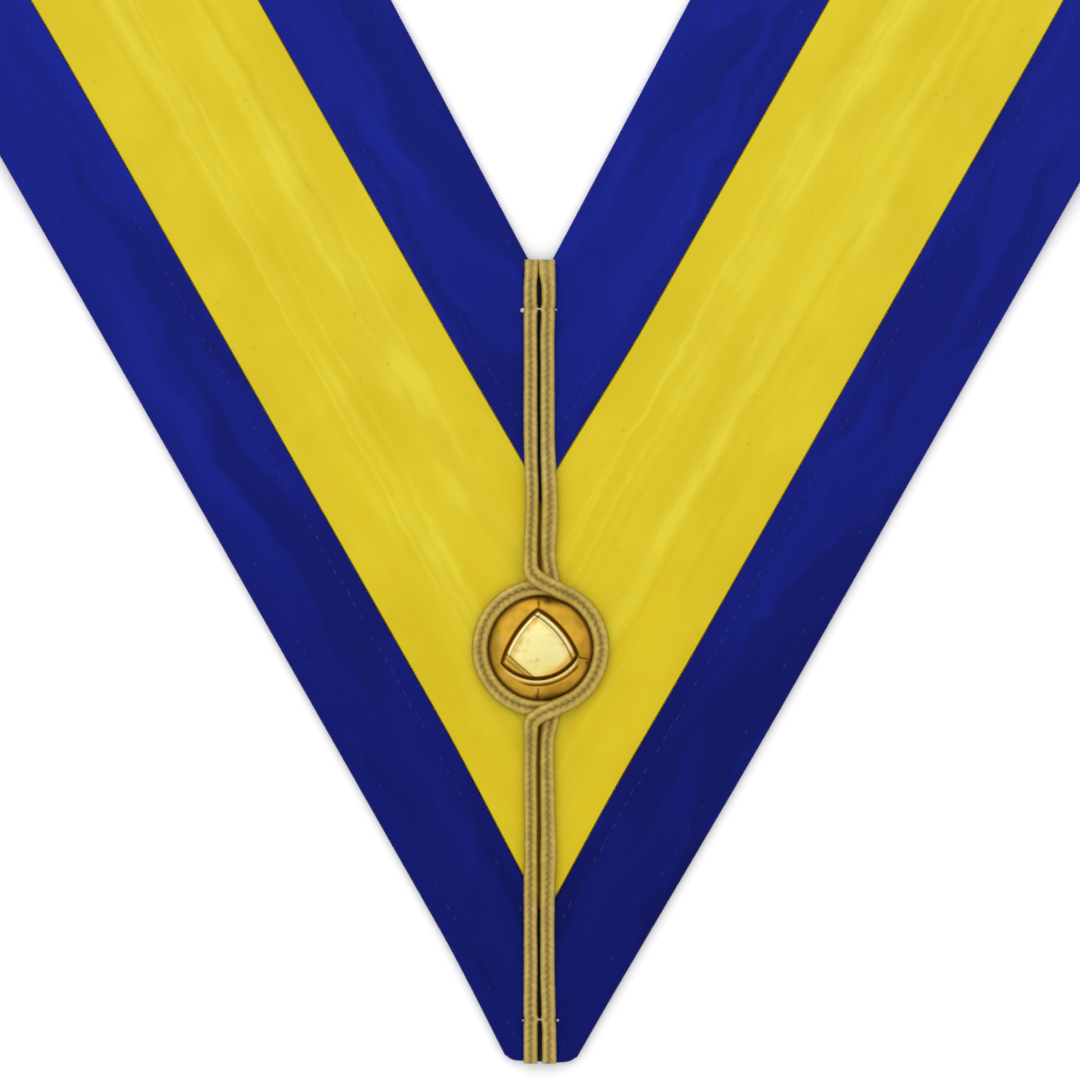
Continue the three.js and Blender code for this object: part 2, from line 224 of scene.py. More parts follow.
def bump(distance, half_width):
    """Smooth bump, 1 at distance 0."""
    return np.exp(-((distance / half_width) ** 2))


def soft_noise(along, across, run, width, seed):
    """Smooth random values from -1 to 1 that change over run along and over width across."""
    cells = 64
    table = np.random.default_rng(seed).uniform(-1, 1, (cells, cells))
    u = along / run
    v = across / width
    column = np.floor(u).astype(int)
    row = np.floor(v).astype(int)
    to_next = ease(u - column)
    to_upper = ease(v - row)
    low_left = table[column % cells, row % cells]
    low_right = table[(column + 1) % cells, row % cells]
    low = low_left * (1 - to_next) + low_right * to_next
    high_left = table[column % cells, (row + 1) % cells]
    high_right = table[(column + 1) % cells, (row + 1) % cells]
    high = high_left * (1 - to_next) + high_right * to_next
    return low * (1 - to_upper) + high * to_upper


def linear(red, green, blue):
    """A colour as a screen shows it, 0 to 255, as the linear colour that Blender works in."""
    shares = (channel / 255 for channel in (red, green, blue))
    return tuple(c / 12.92 if c <= 0.04045 else ((c + 0.055) / 1.055) ** 2.4 for c in shares)


def dimmed(colour, share):
    """A colour with each channel brought down to a share."""
    return tuple(channel * share for channel in colour)


def length_setting(name, description, default, low, high):
    return FloatProperty(
        name=name, description=description, default=default, min=low, max=high, unit="LENGTH"
    )


def colour_setting(name, description, default):
    return FloatVectorProperty(
        name=name, description=description, default=default, min=0, max=1, subtype="COLOR"
    )


class RibbonSettings(PropertyGroup):
    swell: length_setting("Swell", "How far the ribbon lifts in its broad waves", 0.22 * MM, 0, 1 * MM)
    channel: length_setting(
        "Stitch channel", "Depth of the channel that a row of stitches pulls in", 0.14 * MM, 0, 0.6 * MM
    )
    line_gap: length_setting(
        "Line gap", "Distance between the mesh lines across the front", 1.1 * MM, 0.8 * MM, 10 * MM
    )
    blue: colour_setting("Blue", "Blue bands", linear(18, 28, 124))
    blue_bright: colour_setting("Bright blue", "Watered figure of the blue bands", linear(24, 37, 150))
    yellow: colour_setting("Yellow", "Yellow band", linear(208, 187, 33))
    yellow_deep: colour_setting("Deep yellow", "Soft darker patches of the yellow band", linear(198, 175, 26))
    yellow_bright: colour_setting("Bright yellow", "Watered streaks of the yellow band", linear(212, 197, 54))
    # Colours of the painted shade in the seam between the two arms
    blue_seam_shade: colour_setting("Blue seam", "Shade of the sewn seam in the blue bands", linear(46, 42, 30))
    yellow_seam_shade: colour_setting("Yellow seam", "Shade of the sewn seam in the yellow", linear(132, 88, 30))


class StitchSettings(PropertyGroup):
    pitch: length_setting("Pitch", "Distance from one stitch to the next", 3.1 * MM, 1 * MM, 10 * MM)
    length: length_setting("Length", "Length of a stitch", 2.1 * MM, 0.5 * MM, 8 * MM)
    thread: length_setting("Thread", "Thickness of the thread", 0.28 * MM, 0.1 * MM, 1 * MM)
    seam_inset: length_setting(
        "Seam inset", "Distance of a seam row from the edge of the yellow", 4.3 * MM, 1 * MM, 10 * MM
    )
    edge_inset: length_setting(
        "Edge inset", "Distance of an edge row from the ribbon's edge", 4.7 * MM, 1 * MM, 10 * MM
    )
    colour: colour_setting("Thread colour", "Blue sewing thread", linear(34, 43, 134))
    tack_thread: length_setting("Tack thread", "Thickness of the pale thread", 0.34 * MM, 0.1 * MM, 1 * MM)
    tack_colour: colour_setting(
        "Tack colour", "Pale thread that ties the two lines of braid", linear(205, 192, 172)
    )


class BraidSettings(PropertyGroup):
    pitch: length_setting(
        "Thread pitch", "Distance along the braid between wrapped threads", 1.7 * MM, 0.4 * MM, 5 * MM
    )
    relief: length_setting("Thread relief", "Height of the wrapped threads", 0.06 * MM, 0, 0.5 * MM)
    slant: FloatProperty(
        name="Slant",
        description="How far a thread runs along the braid for each unit that it runs round a cord",
        default=0.3,
        min=0,
        max=2,
    )
    # Light gold is painted as the highlight on the crests, dark gold as the painted shade in the valleys and
    # notches
    light: colour_setting("Light gold", "Crests of the gold thread", linear(190, 166, 84))
    dark: colour_setting("Dark gold", "Valleys between the gold threads", linear(118, 95, 28))


class ButtonSettings(PropertyGroup):
    rings: IntProperty(name="Rings", description="Mesh rings to the middle", default=110, min=20, max=200)
    sides: IntProperty(name="Sides", description="Mesh steps round", default=360, min=60, max=720)
    gilt: colour_setting("Gilt", "Amber gilt of the outer leaves", linear(208, 163, 52))
    # The pale worn centre's colour, also used for the painted highlights on the outer leaves
    polish_and_highlight_gilt: colour_setting("Polished gilt", "Pale worn gilt of the raised centre", linear(226, 214, 147))
    stain: colour_setting("Stain", "Small stains on the raised centre", linear(150, 128, 52))
    brown: colour_setting("Brown gilt", "Browner gilt of the lower right leaf", linear(196, 122, 30))
    # This dark colour also paints the shade round the button's rim and on its side wall
    groove: colour_setting("Groove", "Dark tarnish in the grooves", linear(104, 64, 22))


class StageSettings(PropertyGroup):
    floor_radius: length_setting("Floor radius", "Radius of the floor", 7, 1, 50)
    floor_colour: colour_setting("Floor colour", "Pale floor", (0.95, 0.95, 0.95))
    camera_height: length_setting("Camera height", "Height of the camera above the collar", 2.4, 0.3, 5)
    view_width: length_setting(
        "View width", "Width that the camera takes in at the collar", 263.7 * MM, 0.05, 2
    )
    lamp_power: FloatProperty(
        name="Lamp power",
        description="Power of the soft lamp overhead",
        default=8.2,
        min=0,
        max=500,
        subtype="POWER",
    )
    sky_strength: FloatProperty(
        name="Sky strength", description="Strength of the light from all round", default=1.09, min=0, max=5
    )


class CollarSettings(PropertyGroup):
    ribbon: PointerProperty(type=RibbonSettings)
    stitch: PointerProperty(type=StitchSettings)
    braid: PointerProperty(type=BraidSettings)
    button: PointerProperty(type=ButtonSettings)
    stage: PointerProperty(type=StageSettings)


class Wire:
    """An output in a material's nodes. Sums of wires and numbers add the Math nodes."""

    def __init__(self, tree, socket=None):
        self.tree = tree
        self.socket = socket

    def node(self, kind, settings=None, sockets=None, output=0):
        """Adds a node, sets its settings, then its sockets by name or number, and gives one output."""
        added = self.tree.nodes.new(kind)
        for name, value in (settings or {}).items():
            if name == "stops":
                set_stops(added.color_ramp, value)
            else:
                setattr(added, name, value)
        for name, value in (sockets or {}).items():
            if isinstance(value, Wire):
                self.tree.links.new(value.socket, added.inputs[name])
            else:
                added.inputs[name].default_value = value
        return Wire(self.tree, added.outputs[output] if added.outputs else None)

    def math(self, operation, *values):
        return self.node("ShaderNodeMath", {"operation": operation}, dict(enumerate(values)))

    def __add__(self, other):
        return self.math("ADD", self, other)

    __radd__ = __add__

    def __sub__(self, other):
        return self.math("SUBTRACT", self, other)

    def __rsub__(self, other):
        return self.math("SUBTRACT", other, self)

    def __mul__(self, other):
        return self.math("MULTIPLY", self, other)

    __rmul__ = __mul__

    def __truediv__(self, other):
        return self.math("DIVIDE", self, other)

    def __abs__(self):
        return self.math("ABSOLUTE", self)

    def part(self, number):
        """The x (0), y (1) or z (2) of this vector."""
        return self.node("ShaderNodeSeparateXYZ", None, {0: self}, output=number)

    def step(self, start, end):
        """0 up to start and 1 from end on, or the other way round, smooth between."""
        sockets = {"Value": self, "From Min": start, "From Max": end}
        return self.node("ShaderNodeMapRange", {"interpolation_type": "SMOOTHSTEP"}, sockets)

    def times(self, other):
        """This colour multiplied by another."""
        settings = {"data_type": "RGBA", "blend_type": "MULTIPLY"}
        return self.node("ShaderNodeMix", settings, {0: 1.0, 6: self, 7: other}, output=2)

    def mix(self, first, second):
        """first where this wire is 0 and second where it is 1."""
        sockets = {0: self, 6: first, 7: second}
        return self.node("ShaderNodeMix", {"data_type": "RGBA"}, sockets, output=2)

    def noise(self, place, scale, detail=2.0, roughness=0.5, distortion=0.0):
        values = (place, scale, detail, roughness, distortion)
        names = ("Vector", "Scale", "Detail", "Roughness", "Distortion")
        return self.node("ShaderNodeTexNoise", None, dict(zip(names, values)))

    def object_place(self):
        """The place in the frame, because every piece sits at the origin."""
        return self.node("ShaderNodeTexCoord", output=3)

    def uv_place(self):
        """The place on the flat ribbon or braid: along and across."""
        return self.node("ShaderNodeUVMap", {"uv_map": "flat"})

    def attribute(self, name):
        return self.node("ShaderNodeAttribute", {"attribute_name": name}, output=2)

    def ribs(self, place, direction, scale, distortion, detail_scale):
        settings = {"wave_type": "BANDS", "bands_direction": direction}
        values = (place, scale, distortion, 1, detail_scale)
        names = ("Vector", "Scale", "Distortion", "Detail", "Detail Scale")
        return self.node("ShaderNodeTexWave", settings, dict(zip(names, values)))

    def bumps(self, height, strength, distance):
        sockets = {"Strength": strength, "Distance": distance, "Height": height}
        return self.node("ShaderNodeBump", None, sockets)


def set_stops(ramp, stops):
    """Sets a ramp's stops, each a place from 0 to 1 and a linear colour."""
    while len(ramp.elements) > len(stops):
        ramp.elements.remove(ramp.elements[-1])
    while len(ramp.elements) < len(stops):
        ramp.elements.new(1)
    for element, (place, colour) in zip(ramp.elements, stops):
        element.position = place
        element.color = (*colour, 1)


def opaque(colour):
    return (*colour, 1)


def new_material(name):
    """An empty material and the wire that its nodes are added with."""
    material = bpy.data.materials.new(name)
    material.use_nodes = True
    material.node_tree.nodes.clear()
    return material, Wire(material.node_tree)


def finish_surface(start, sockets):
    """Ends a material in a Principled surface with these sockets."""
    surface = start.node("ShaderNodeBsdfPrincipled", None, sockets)
    start.node("ShaderNodeOutputMaterial", None, {"Surface": surface})


def flat_place(start, along=1.0, across=1.0):
    """The place on the flat ribbon or braid as a vector, stretched."""
    return start.node("ShaderNodeMapping", None, {"Vector": start.uv_place(), "Scale": (along, across, 1)})


def swaying_place(start, run, width, sway, seed):
    """The place on the flat ribbon counted in runs and widths, drifting sideways as threads in moire do."""
    flat = start.uv_place()
    drift = start.noise(flat_place(start, 38, 13), 1, detail=3, roughness=0.6) - 0.5
    tremble = start.noise(flat_place(start, 120, 60), 1, detail=2) - 0.5
    across = flat.part(1) + drift * sway + tremble * TREMBLE
    place = {0: flat.part(0) / run + seed, 1: across / width, 2: seed}
    return start.node("ShaderNodeCombineXYZ", None, place)


def figure(start, run, width, sway, seed, detail):
    """Noise in long streaks that sway with the ribbon's threads, run long and width apart."""
    return start.noise(swaying_place(start, run, width, sway, seed), 1, detail=detail)


def weave_height(start, place):
    """Fine ribs across the ribbon with a little unevenness."""
    return start.ribs(place, "X", 330, 0.6, 2) + start.noise(place, 900, detail=1) * 0.6


def finish_ribbon(start, colour, tip_shade_tint, specular, seam_shade_colour):
    """Ends a ribbon's material: painted shade deeper towards the tip and in the sewn seam, with a fine weave.
    """
    place = start.object_place()
    # Painted shade and sheen: the colour is multiplied down towards the tip, as light falling off from the
    # top would make it
    upwards = place.part(1).step(TIP_SHADE_FROM, TIP_SHADE_TO)
    colour = colour.times(upwards.mix(opaque(tip_shade_tint), opaque((1, 1, 1))))
    # Painted shade of the sewn seam between the two arms, where the slit between the braids lies in shadow;
    # it fades out behind
    beside_seam = abs(place.part(0) + SEAM_SHADE_SHIFT)
    seam = beside_seam.step(SEAM_SHADE_END, SEAM_SHADE_FULL) * place.part(1).step(SEAM_SHADE_RUN, 0) * 0.85
    colour = seam.mix(colour, opaque(seam_shade_colour))
    sheen = start.noise(flat_place(start, 1, 3), 30, detail=2)
    sockets = {
        "Base Color": colour,
        "Roughness": 0.62 - sheen * 0.12,
        "Specular IOR Level": specular,
        "Normal": start.bumps(weave_height(start, flat_place(start)), 0.2, 0.1 * MM),
    }
    finish_surface(start, sockets)


def yellow_moire(settings):
    """Yellow ribbon with bundles of long, gently swaying streaks in its middle."""
    material, start = new_material("yellow_moire_ribbon")
    share = (start.uv_place().part(1) - YELLOW_FROM) / CENTRE_BAND
    bundles = abs(abs(share - 0.46) - 0.17).step(0.17, 0.04)
    first = figure(start, 0.26, 6.8 * MM, 5 * MM, 3.7, 0.6)
    second = figure(start, 0.2, 8.2 * MM, 6 * MM, 21.4, 0.6)
    fine = abs(first - 0.5).step(0.055, 0.012) + abs(second - 0.47).step(0.05, 0.01) * 0.8
    broad = figure(start, 0.2, 6 * MM, 5.5 * MM, 9.1, 1).step(0.48, 0.7)
    dark = figure(start, 0.22, 4.5 * MM, 5 * MM, 15.3, 1).step(0.5, 0.68)
    patches = start.noise(flat_place(start, 1, 1.5), 34, detail=3).step(0.32, 0.7)
    colour = (patches * 0.6 + 0.32).mix(opaque(settings.yellow_deep), opaque(settings.yellow))
    colour = (dark * (bundles * 0.55 + 0.15)).mix(colour, opaque(settings.yellow_deep))
    clouds = start.noise(flat_place(start, 0.6, 1), 85, detail=2).step(0.45, 0.75)
    streaks = fine * (bundles * 0.5 + 0.07) * (clouds * 0.7 + 0.65) + broad * (bundles * 0.24 + 0.14)
    colour = (streaks + clouds * 0.3).mix(colour, opaque(settings.yellow_bright))
    specks = start.noise(flat_place(start), 420, detail=2, roughness=0.6).step(0.68, 0.76) * 0.3
    colour = specks.mix(colour, opaque(dimmed(settings.yellow_deep, 0.6)))
    # (0.98, 0.95, 0.6) is the painted shade towards the tip
    finish_ribbon(start, colour, (0.98, 0.95, 0.6), 0.1, settings.yellow_seam_shade)
    return material


def blue_moire(settings):
    """Blue ribbon with a soft cloudy watering and faint lighter lines round it."""
    material, start = new_material("blue_moire_ribbon")
    place = swaying_place(start, 0.06, 12 * MM, 16 * MM, 5.3)
    field = start.noise(place, 1, detail=1.2, roughness=0.4, distortion=0.5)
    colour = field.step(0.34, 0.66).mix(opaque(dimmed(settings.blue, 0.8)), opaque(settings.blue))
    lines = abs(field - 0.52).step(0.1, 0.01) * 0.2
    broad = figure(start, 0.12, 9 * MM, 16 * MM, 1.9, 1).step(0.48, 0.72) * 0.36
    colour = (lines + broad).mix(colour, opaque(settings.blue_bright))
    # (0.43, 0.48, 0.57) is the painted shade towards the tip
    finish_ribbon(start, colour, (0.43, 0.48, 0.57), 0.05, settings.blue_seam_shade)
    return material


def thread_material(name, colour, roughness):
    """Twisted sewing thread."""
    material, start = new_material(name)
    shade = start.noise(start.object_place(), 1400, detail=2).step(0.3, 0.75)
    sockets = {
        "Base Color": shade.mix(opaque(dimmed(colour, 0.55)), opaque(colour)),
        "Roughness": roughness + shade * 0.1,
        "Specular IOR Level": 0.2,
    }
    finish_surface(start, sockets)
    return material


def braid_material(settings):
    """Gold thread wrapped round two cords: painted highlights on the crests, painted shade in the valleys and
    fine wire across each thread.
    """
    material, start = new_material("gold_braid_thread")
    place = flat_place(start)
    wear = start.noise(place, 420, detail=3).step(0.3, 0.72)
    # The stored value holds the painted highlight and painted shade with each thread's random tone; wear
    # moves it further
    crest = start.attribute("ridge") + wear * 0.22 - 0.11
    colour = crest.mix(opaque(settings.dark), opaque(settings.light))
    # Painted reflection of the yellow ribbon: the braid is tinted warmer where it lies over the yellow
    y = start.object_place().part(1)
    yellow_reflection = y.step(YELLOW_TOP_Y, YELLOW_TOP_Y - TINT_FADE)
    yellow_reflection = yellow_reflection * y.step(YELLOW_TIP_Y, YELLOW_TIP_Y + TINT_FADE)
    colour = colour.times(yellow_reflection.mix(opaque((1, 1, 1)), opaque((1, 0.97, 0.72))))
    sockets = {
        "Base Color": colour,
        "Metallic": 0.2 + wear * 0.2,
        "Roughness": 0.52 - wear * 0.12,
        "Normal": start.bumps(start.ribs(place, "DIAGONAL", 900, 1.5, 3), 0.5, 0.08 * MM),
    }
    finish_surface(start, sockets)
    return material


def gilt_material(settings):
    """Gilt metal: amber leaves with painted highlights, a pale worn centre with painted shade inside its
    edges, tarnished grooves and painted shade round the rim.
    """
    material, start = new_material("gilt_button_metal")
    # How much of the pale worn gilt shows: the raised centre, with painted highlights on the leaves and
    # painted shade inside the centre's edges
    polish = start.attribute("polish")
    # Tarnish in the grooves, with painted shade round the rim and on the side wall
    groove = start.attribute("groove")
    place = start.object_place()
    x = place.part(0)
    y = place.part(1) - BUTTON_CENTRE.y
    stains = start.noise(place, 480, detail=3, roughness=0.55).step(0.56, 0.76)
    mottle = start.noise(place, 240, detail=3).step(0.33, 0.67)
    leaves = mottle.mix(opaque(dimmed(settings.gilt, 0.68)), opaque(settings.gilt))
    browner = (x - y * 0.8).step(4 * MM, 16 * MM) * 0.12
    leaves = browner.mix(leaves, opaque(settings.brown))
    # The raised centre's colour goes deeper yellow and darker towards its bottom
    low_centre_colour = tuple(channel * share for channel, share in zip(settings.polish_and_highlight_gilt, (0.96, 0.9, 0.66)))
    centre = y.step(1 * MM, -7.5 * MM).mix(opaque(settings.polish_and_highlight_gilt), opaque(low_centre_colour))
    centre = (stains * 0.6).mix(centre, opaque(settings.stain))
    sockets = {
        "Base Color": groove.mix(polish.mix(leaves, centre), opaque(settings.groove)),
        "Metallic": 1.0,
        "Roughness": 0.54 - polish * 0.34 + stains * 0.1 + groove * 0.2,
        "Normal": start.bumps(start.noise(place, 900, detail=3), 0.25, 0.1 * MM),
    }
    finish_surface(start, sockets)
    return material


def arm_height(past):
    """Height of an arm's underside, past is the distance from the fold line."""
    climb = ease((past + OVERLAP_REACH + STEP_RUN) / STEP_RUN)
    into_roll = ease((past + FOLD_EASE) / FOLD_EASE)
    return STEP_HEIGHT * climb + (FOLD_HEIGHT - STEP_HEIGHT) * into_roll


def past_fold(s, w):
    """How far a point of the flat ribbon lies past the fold line."""
    return s * (ALONG @ TOWARDS) + w * (ACROSS @ TOWARDS) - FOLD_AT


def pulled(s, w, side):
    """The same place of the ribbon after an arm is pulled a little narrower or wider in front."""
    x = s * SIN_POINT + w * COS_POINT
    away = ease(x / PULL_FADE)
    front = (1 - ease((s - FRONT_RUN) / FRONT_RUN)) * away
    if side < 0:
        across = np.interp(w, PULL_AT, LEFT_PULL) * front
        on_mitre = np.interp(w, PULL_AT, LEFT_MITRE_PULL)
    else:
        across = np.interp(w, PULL_AT, RIGHT_PULL) * front * ease((s - RIGHT_PULL_FROM) / RIGHT_PULL_RUN)
        on_mitre = np.interp(w, PULL_AT, RIGHT_MITRE_PULL)
    on_mitre = on_mitre * ease(x / UNDER_BRAID) * (1 - away)
    return s - on_mitre / TAN_POINT, w + across + on_mitre


def ribbon_place(s, w, t, side, lift=0.0):
    """Where points of the flat ribbon lie: s along it from the inner point, w across it from the inner
    edge, t up from its underside, on the right (side 1) or left (side -1), lift is straight up."""
    past = past_fold(s, w)
    dip = SEAM_DIP * bump(s * SIN_POINT + w * COS_POINT, SEAM_REACH) * (s < FRONT_RUN)
    s, w = pulled(s, w, side)
    turn = np.clip(past / FOLD_RADIUS, 0, math.pi)
    beyond = np.maximum(0, past - ROLL)
    reach = np.minimum(past, 0) + (FOLD_RADIUS + t) * np.sin(turn) - beyond
    on_line = s * (ALONG @ FOLD_LINE) + w * (ACROSS @ FOLD_LINE)
    x = FOLD_LINE[0] * on_line + TOWARDS[0] * (FOLD_AT + reach)
    y = FOLD_LINE[1] * on_line + TOWARDS[1] * (FOLD_AT + reach)
    z = (arm_height(past) - FOLD_RADIUS + (FOLD_RADIUS + t) * np.cos(turn)) * (1 - dip) + lift
    return np.stack((side * x, INNER_POINT_Y + y, z), axis=-1)


def round_ribbon(s, side):
    """Distance from the middle of the back, negative on the left: the ribbon's own length coordinate."""
    return side * (BACK_MIDDLE - s)


def swell(s, w, side, amount):
    """Broad waves that lift the ribbon, calmer where it lies in two layers."""
    along = round_ribbon(s, side)
    broad = 0.5 + 0.5 * soft_noise(along, w, 55 * MM, 34 * MM, SWELL_SEED)
    small = 0.5 + 0.5 * soft_noise(along, w, 17 * MM, 12 * MM, SWELL_SEED + 1)
    calm = 1 - 0.7 * ease((past_fold(s, w) + OVERLAP_REACH + STEP_RUN) / STEP_RUN)
    return amount * calm * (broad + 0.35 * small)


def ribbon_lines(gap):
    """Lines across the right half from the mitre to the middle of the back. Each is s = s0 + slope * w,
    with the ribbon's inner and outer limits on it. The lines lie gap apart in front and wider behind."""
    upright = -1 / TAN_POINT
    foldwise = -1 / math.tan(FOLD_ANGLE)
    mitre_end = 9 * MM
    flat_end = -OVERLAP_REACH - STEP_RUN
    fold_run = 4 * MM

    def count(length, spacing):
        return max(2, round(length / spacing))

    mitre_x = np.linspace(SEAM_GAP / 2, mitre_end, count(mitre_end, gap * 0.45))
    turn_from = mitre_end / SIN_POINT
    turn_to = (FOLD_AT + flat_end) / TOWARDS[0]
    arm_middle = turn_to - turn_from + (foldwise - upright) * RIBBON / 2
    fan = np.linspace(0, 1, count(arm_middle, gap))[1:]
    arm = np.linspace(flat_end, -fold_run, count(-flat_end, 1.5 * gap))[1:]
    roll = np.linspace(-fold_run, ROLL + fold_run, count(ROLL + 2 * fold_run, 0.6 * gap))[1:]
    roll_end = (FOLD_AT + ROLL + fold_run) / TOWARDS[0]
    back = np.linspace(0, 1, count(BACK_MIDDLE - roll_end, 2.0 * gap))[1:]
    s0 = np.concatenate(
        (
            mitre_x / SIN_POINT,
            turn_from + (turn_to - turn_from) * fan,
            (FOLD_AT + arm) / TOWARDS[0],
            (FOLD_AT + roll) / TOWARDS[0],
            roll_end + (BACK_MIDDLE - roll_end) * back,
        )
    )
    slope = np.concatenate(
        (
            np.full(len(mitre_x), upright),
            upright + (foldwise - upright) * fan,
            np.full(len(arm) + len(roll), foldwise),
            foldwise * (1 - back),
        )
    )
    x = s0 * SIN_POINT
    inner = np.minimum(-INNER_EASE * np.clip(s0 / EASE_RUN, 0, 1), (x / TAN_POINT - NOTCH_RISE) * SIN_POINT)
    tip_x = (TIP_CUT + TIP_DRAW) * TAN_POINT - TIP_RADIUS * math.tan((math.pi / 2 - POINT_HALF_ANGLE) / 2)
    past_corner = np.clip(x - tip_x, 0, TIP_RADIUS)
    tip_y = TIP_Y + TIP_DRAW + TIP_RADIUS - np.sqrt(TIP_RADIUS**2 - past_corner**2)
    cut = (x / TAN_POINT - tip_y) * SIN_POINT
    outer = np.where(x < mitre_end, np.minimum(RIBBON, cut), RIBBON)
    return s0, slope, inner, outer


def run(start, end, count):
    """count even columns from start up to, but without, end. Both may be columns of their own."""
    return start + (end - start) * np.arange(count) / count


def half_round(w, side, count):
    """A turned-in edge at w, as a half round from the underside up, without its last point."""
    radius = CLOTH / 2
    turn = np.arange(count) * math.pi / count
    return w + side * radius * (np.sin(turn) - 1), radius * (1 - np.cos(turn))


def outline(rows):
    """One outline from rows of points, each with its places across the ribbon and its heights."""
    return np.concatenate([w for w, _ in rows], axis=1), np.concatenate([t for _, t in rows])


def blue_section(edge, lip, side, columns):
    """Outline of a blue band between its turned-in free edge and its lip over the yellow. side is 1 where
    the free edge lies further out, and the face has this many columns."""
    foot = lip + side * (LAP + CLEARANCE)
    turn_in = edge - side * CLOTH / 2
    corner = np.arange(4) * math.pi / 8
    rows = [
        (run(foot, turn_in, 9), np.zeros(9)),
        half_round(edge, side, 8),
        (run(turn_in, lip + side * LIP_ROUND, columns), np.full(columns, CLOTH)),
        (lip + side * LIP_ROUND * (1 - np.sin(corner)), CLOTH - LIP_ROUND * (1 - np.cos(corner))),
        (lip, np.full(1, LAP_UNDERSIDE)),
        (foot, np.full(1, LAP_UNDERSIDE)),
    ]
    return outline(rows)


def outer_section(inner, outer):
    """Outline of the outer blue band, across and up."""
    return blue_section(outer, YELLOW_TO + 0 * outer, 1, 30)


def inner_section(inner, outer):
    """Outline of the inner blue band, across and up."""
    return blue_section(inner, YELLOW_FROM + 0 * inner, -1, 32)


def centre_section(inner, outer):
    """Outline of the yellow band, across and up: a body between two thin margins."""
    zero = 0 * inner
    face = CLOTH - CENTRE_STEP
    low = YELLOW_FROM - LAP + zero
    high = YELLOW_TO + LAP + zero
    body_low = YELLOW_FROM + CLEARANCE + zero
    body_high = YELLOW_TO - CLEARANCE + zero
    rows = [
        (run(low, high, 20), np.zeros(20)),
        (high, np.zeros(1)),
        (high, np.full(1, MARGIN_CLOTH)),
        (body_high, np.full(1, MARGIN_CLOTH)),
        (run(body_high, body_low, 34), np.full(34, face)),
        (body_low, np.full(1, face)),
        (body_low, np.full(1, MARGIN_CLOTH)),
        (low, np.full(1, MARGIN_CLOTH)),
    ]
    return outline(rows)


def mesh_from(bm, name):
    """Ends a bmesh in a mesh."""
    mesh = bpy.data.meshes.new(name)
    bm.to_mesh(mesh)
    bm.free()
    return mesh


def tube_mesh(name, places, flat, values=None):
    """A closed mesh from a grid bent round on itself. places holds rows round the outline by columns
    along it, flat the UV of each, and values named numbers for each."""
    around, along = places.shape[:2]
    bm = bmesh.new()
    bmesh.ops.create_grid(bm, x_segments=along - 1, y_segments=around, size=0.5)
    wrapped = np.concatenate((places, places[:1])).reshape(-1, 3)
    flat_wrapped = np.concatenate((flat, flat[:1])).reshape(-1, 2)
    for vert, place in zip(bm.verts, wrapped.tolist()):
        vert.co = place
    bm.verts.index_update()
    for key, value in (values or {}).items():
        layer = bm.verts.layers.float.new(key)
        for vert, number in zip(bm.verts, np.concatenate((value, value[:1])).ravel().tolist()):
            vert[layer] = number
    uv = bm.loops.layers.uv.new("flat")
    flat_list = flat_wrapped.tolist()
    for face in bm.faces:
        for loop in face.loops:
            loop[uv].uv = flat_list[loop.vert.index]
    bmesh.ops.remove_doubles(bm, verts=bm.verts, dist=1e-6)
    bmesh.ops.holes_fill(bm, edges=[edge for edge in bm.edges if edge.is_boundary], sides=0)
    bmesh.ops.recalc_face_normals(bm, faces=bm.faces)
    return mesh_from(bm, name)


def add_piece(name, mesh, material, smooth_angle=math.radians(50)):
    """An object at the origin that rides on the collar's body, smooth up to an angle."""
    mesh.materials.clear()
    mesh.materials.append(material)
    mesh.shade_smooth()
    mesh.set_sharp_from_angle(angle=smooth_angle)
    piece = bpy.data.objects.new(name, mesh)
    bpy.context.scene.collection.objects.link(piece)
    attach(piece, "root")
    return piece


def stitch_rows(stitch):
    """Where the rows of stitches lie across the ribbon, by name."""
    return {
        "inner_edge": stitch.edge_inset - INNER_EASE,
        "inner_seam": YELLOW_FROM - stitch.seam_inset,
        "outer_seam": YELLOW_TO + stitch.seam_inset,
        "outer_edge": RIBBON - stitch.edge_inset,
    }


def face_relief(s, w, side, channel, rows):
    """What the rows of stitches pull in or pucker on the face."""
    along = round_ribbon(s, side)
    total = 0 * s
    for number, row in enumerate(rows):
        pucker = 0.5 * soft_noise(along, w, 5.5 * MM, 4 * MM, PUCKER_SEED + number)
        relief = pucker * bump(w - row, 2.4 * MM) - bump(w - row, 0.6 * MM)
        total = total + channel * relief
    return total


def band_mesh(name, section, settings, rows):
    """A band of the ribbon all the way round, from the left mitre to the right one."""
    s0, slope, inner, outer = ribbon_lines(settings.line_gap)
    w, t = section(inner[:, None], outer[:, None])
    s = s0[:, None] + slope[:, None] * w
    face = ease((t - LAP_UNDERSIDE) / (CLOTH - LAP_UNDERSIDE - CENTRE_STEP))
    halves = []
    flats = []
    for side in (-1, 1):
        up = t + face * face_relief(s, w, side, settings.channel, rows)
        halves.append(ribbon_place(s, w, up, side, swell(s, w, side, settings.swell)))
        flats.append(np.stack((round_ribbon(s, side), w), axis=-1))
    places = np.concatenate((halves[0], halves[1][-2::-1]))
    flat = np.concatenate((flats[0], flats[1][-2::-1]))
    return tube_mesh(name, places.transpose(1, 0, 2), flat.transpose(1, 0, 2))


def length_round(w):
    """Length of the ribbon, mitre to mitre, at w across."""
    return 2 * (BACK_MIDDLE + w / TAN_POINT)


def declare_sheet(low, high):
    """Works out the width and area of a band that was cut from low to high across, with mitred ends, and
    keeps neither.
    """
    width = high - low
    area = width * length_round((low + high) / 2)
    length_round(high)


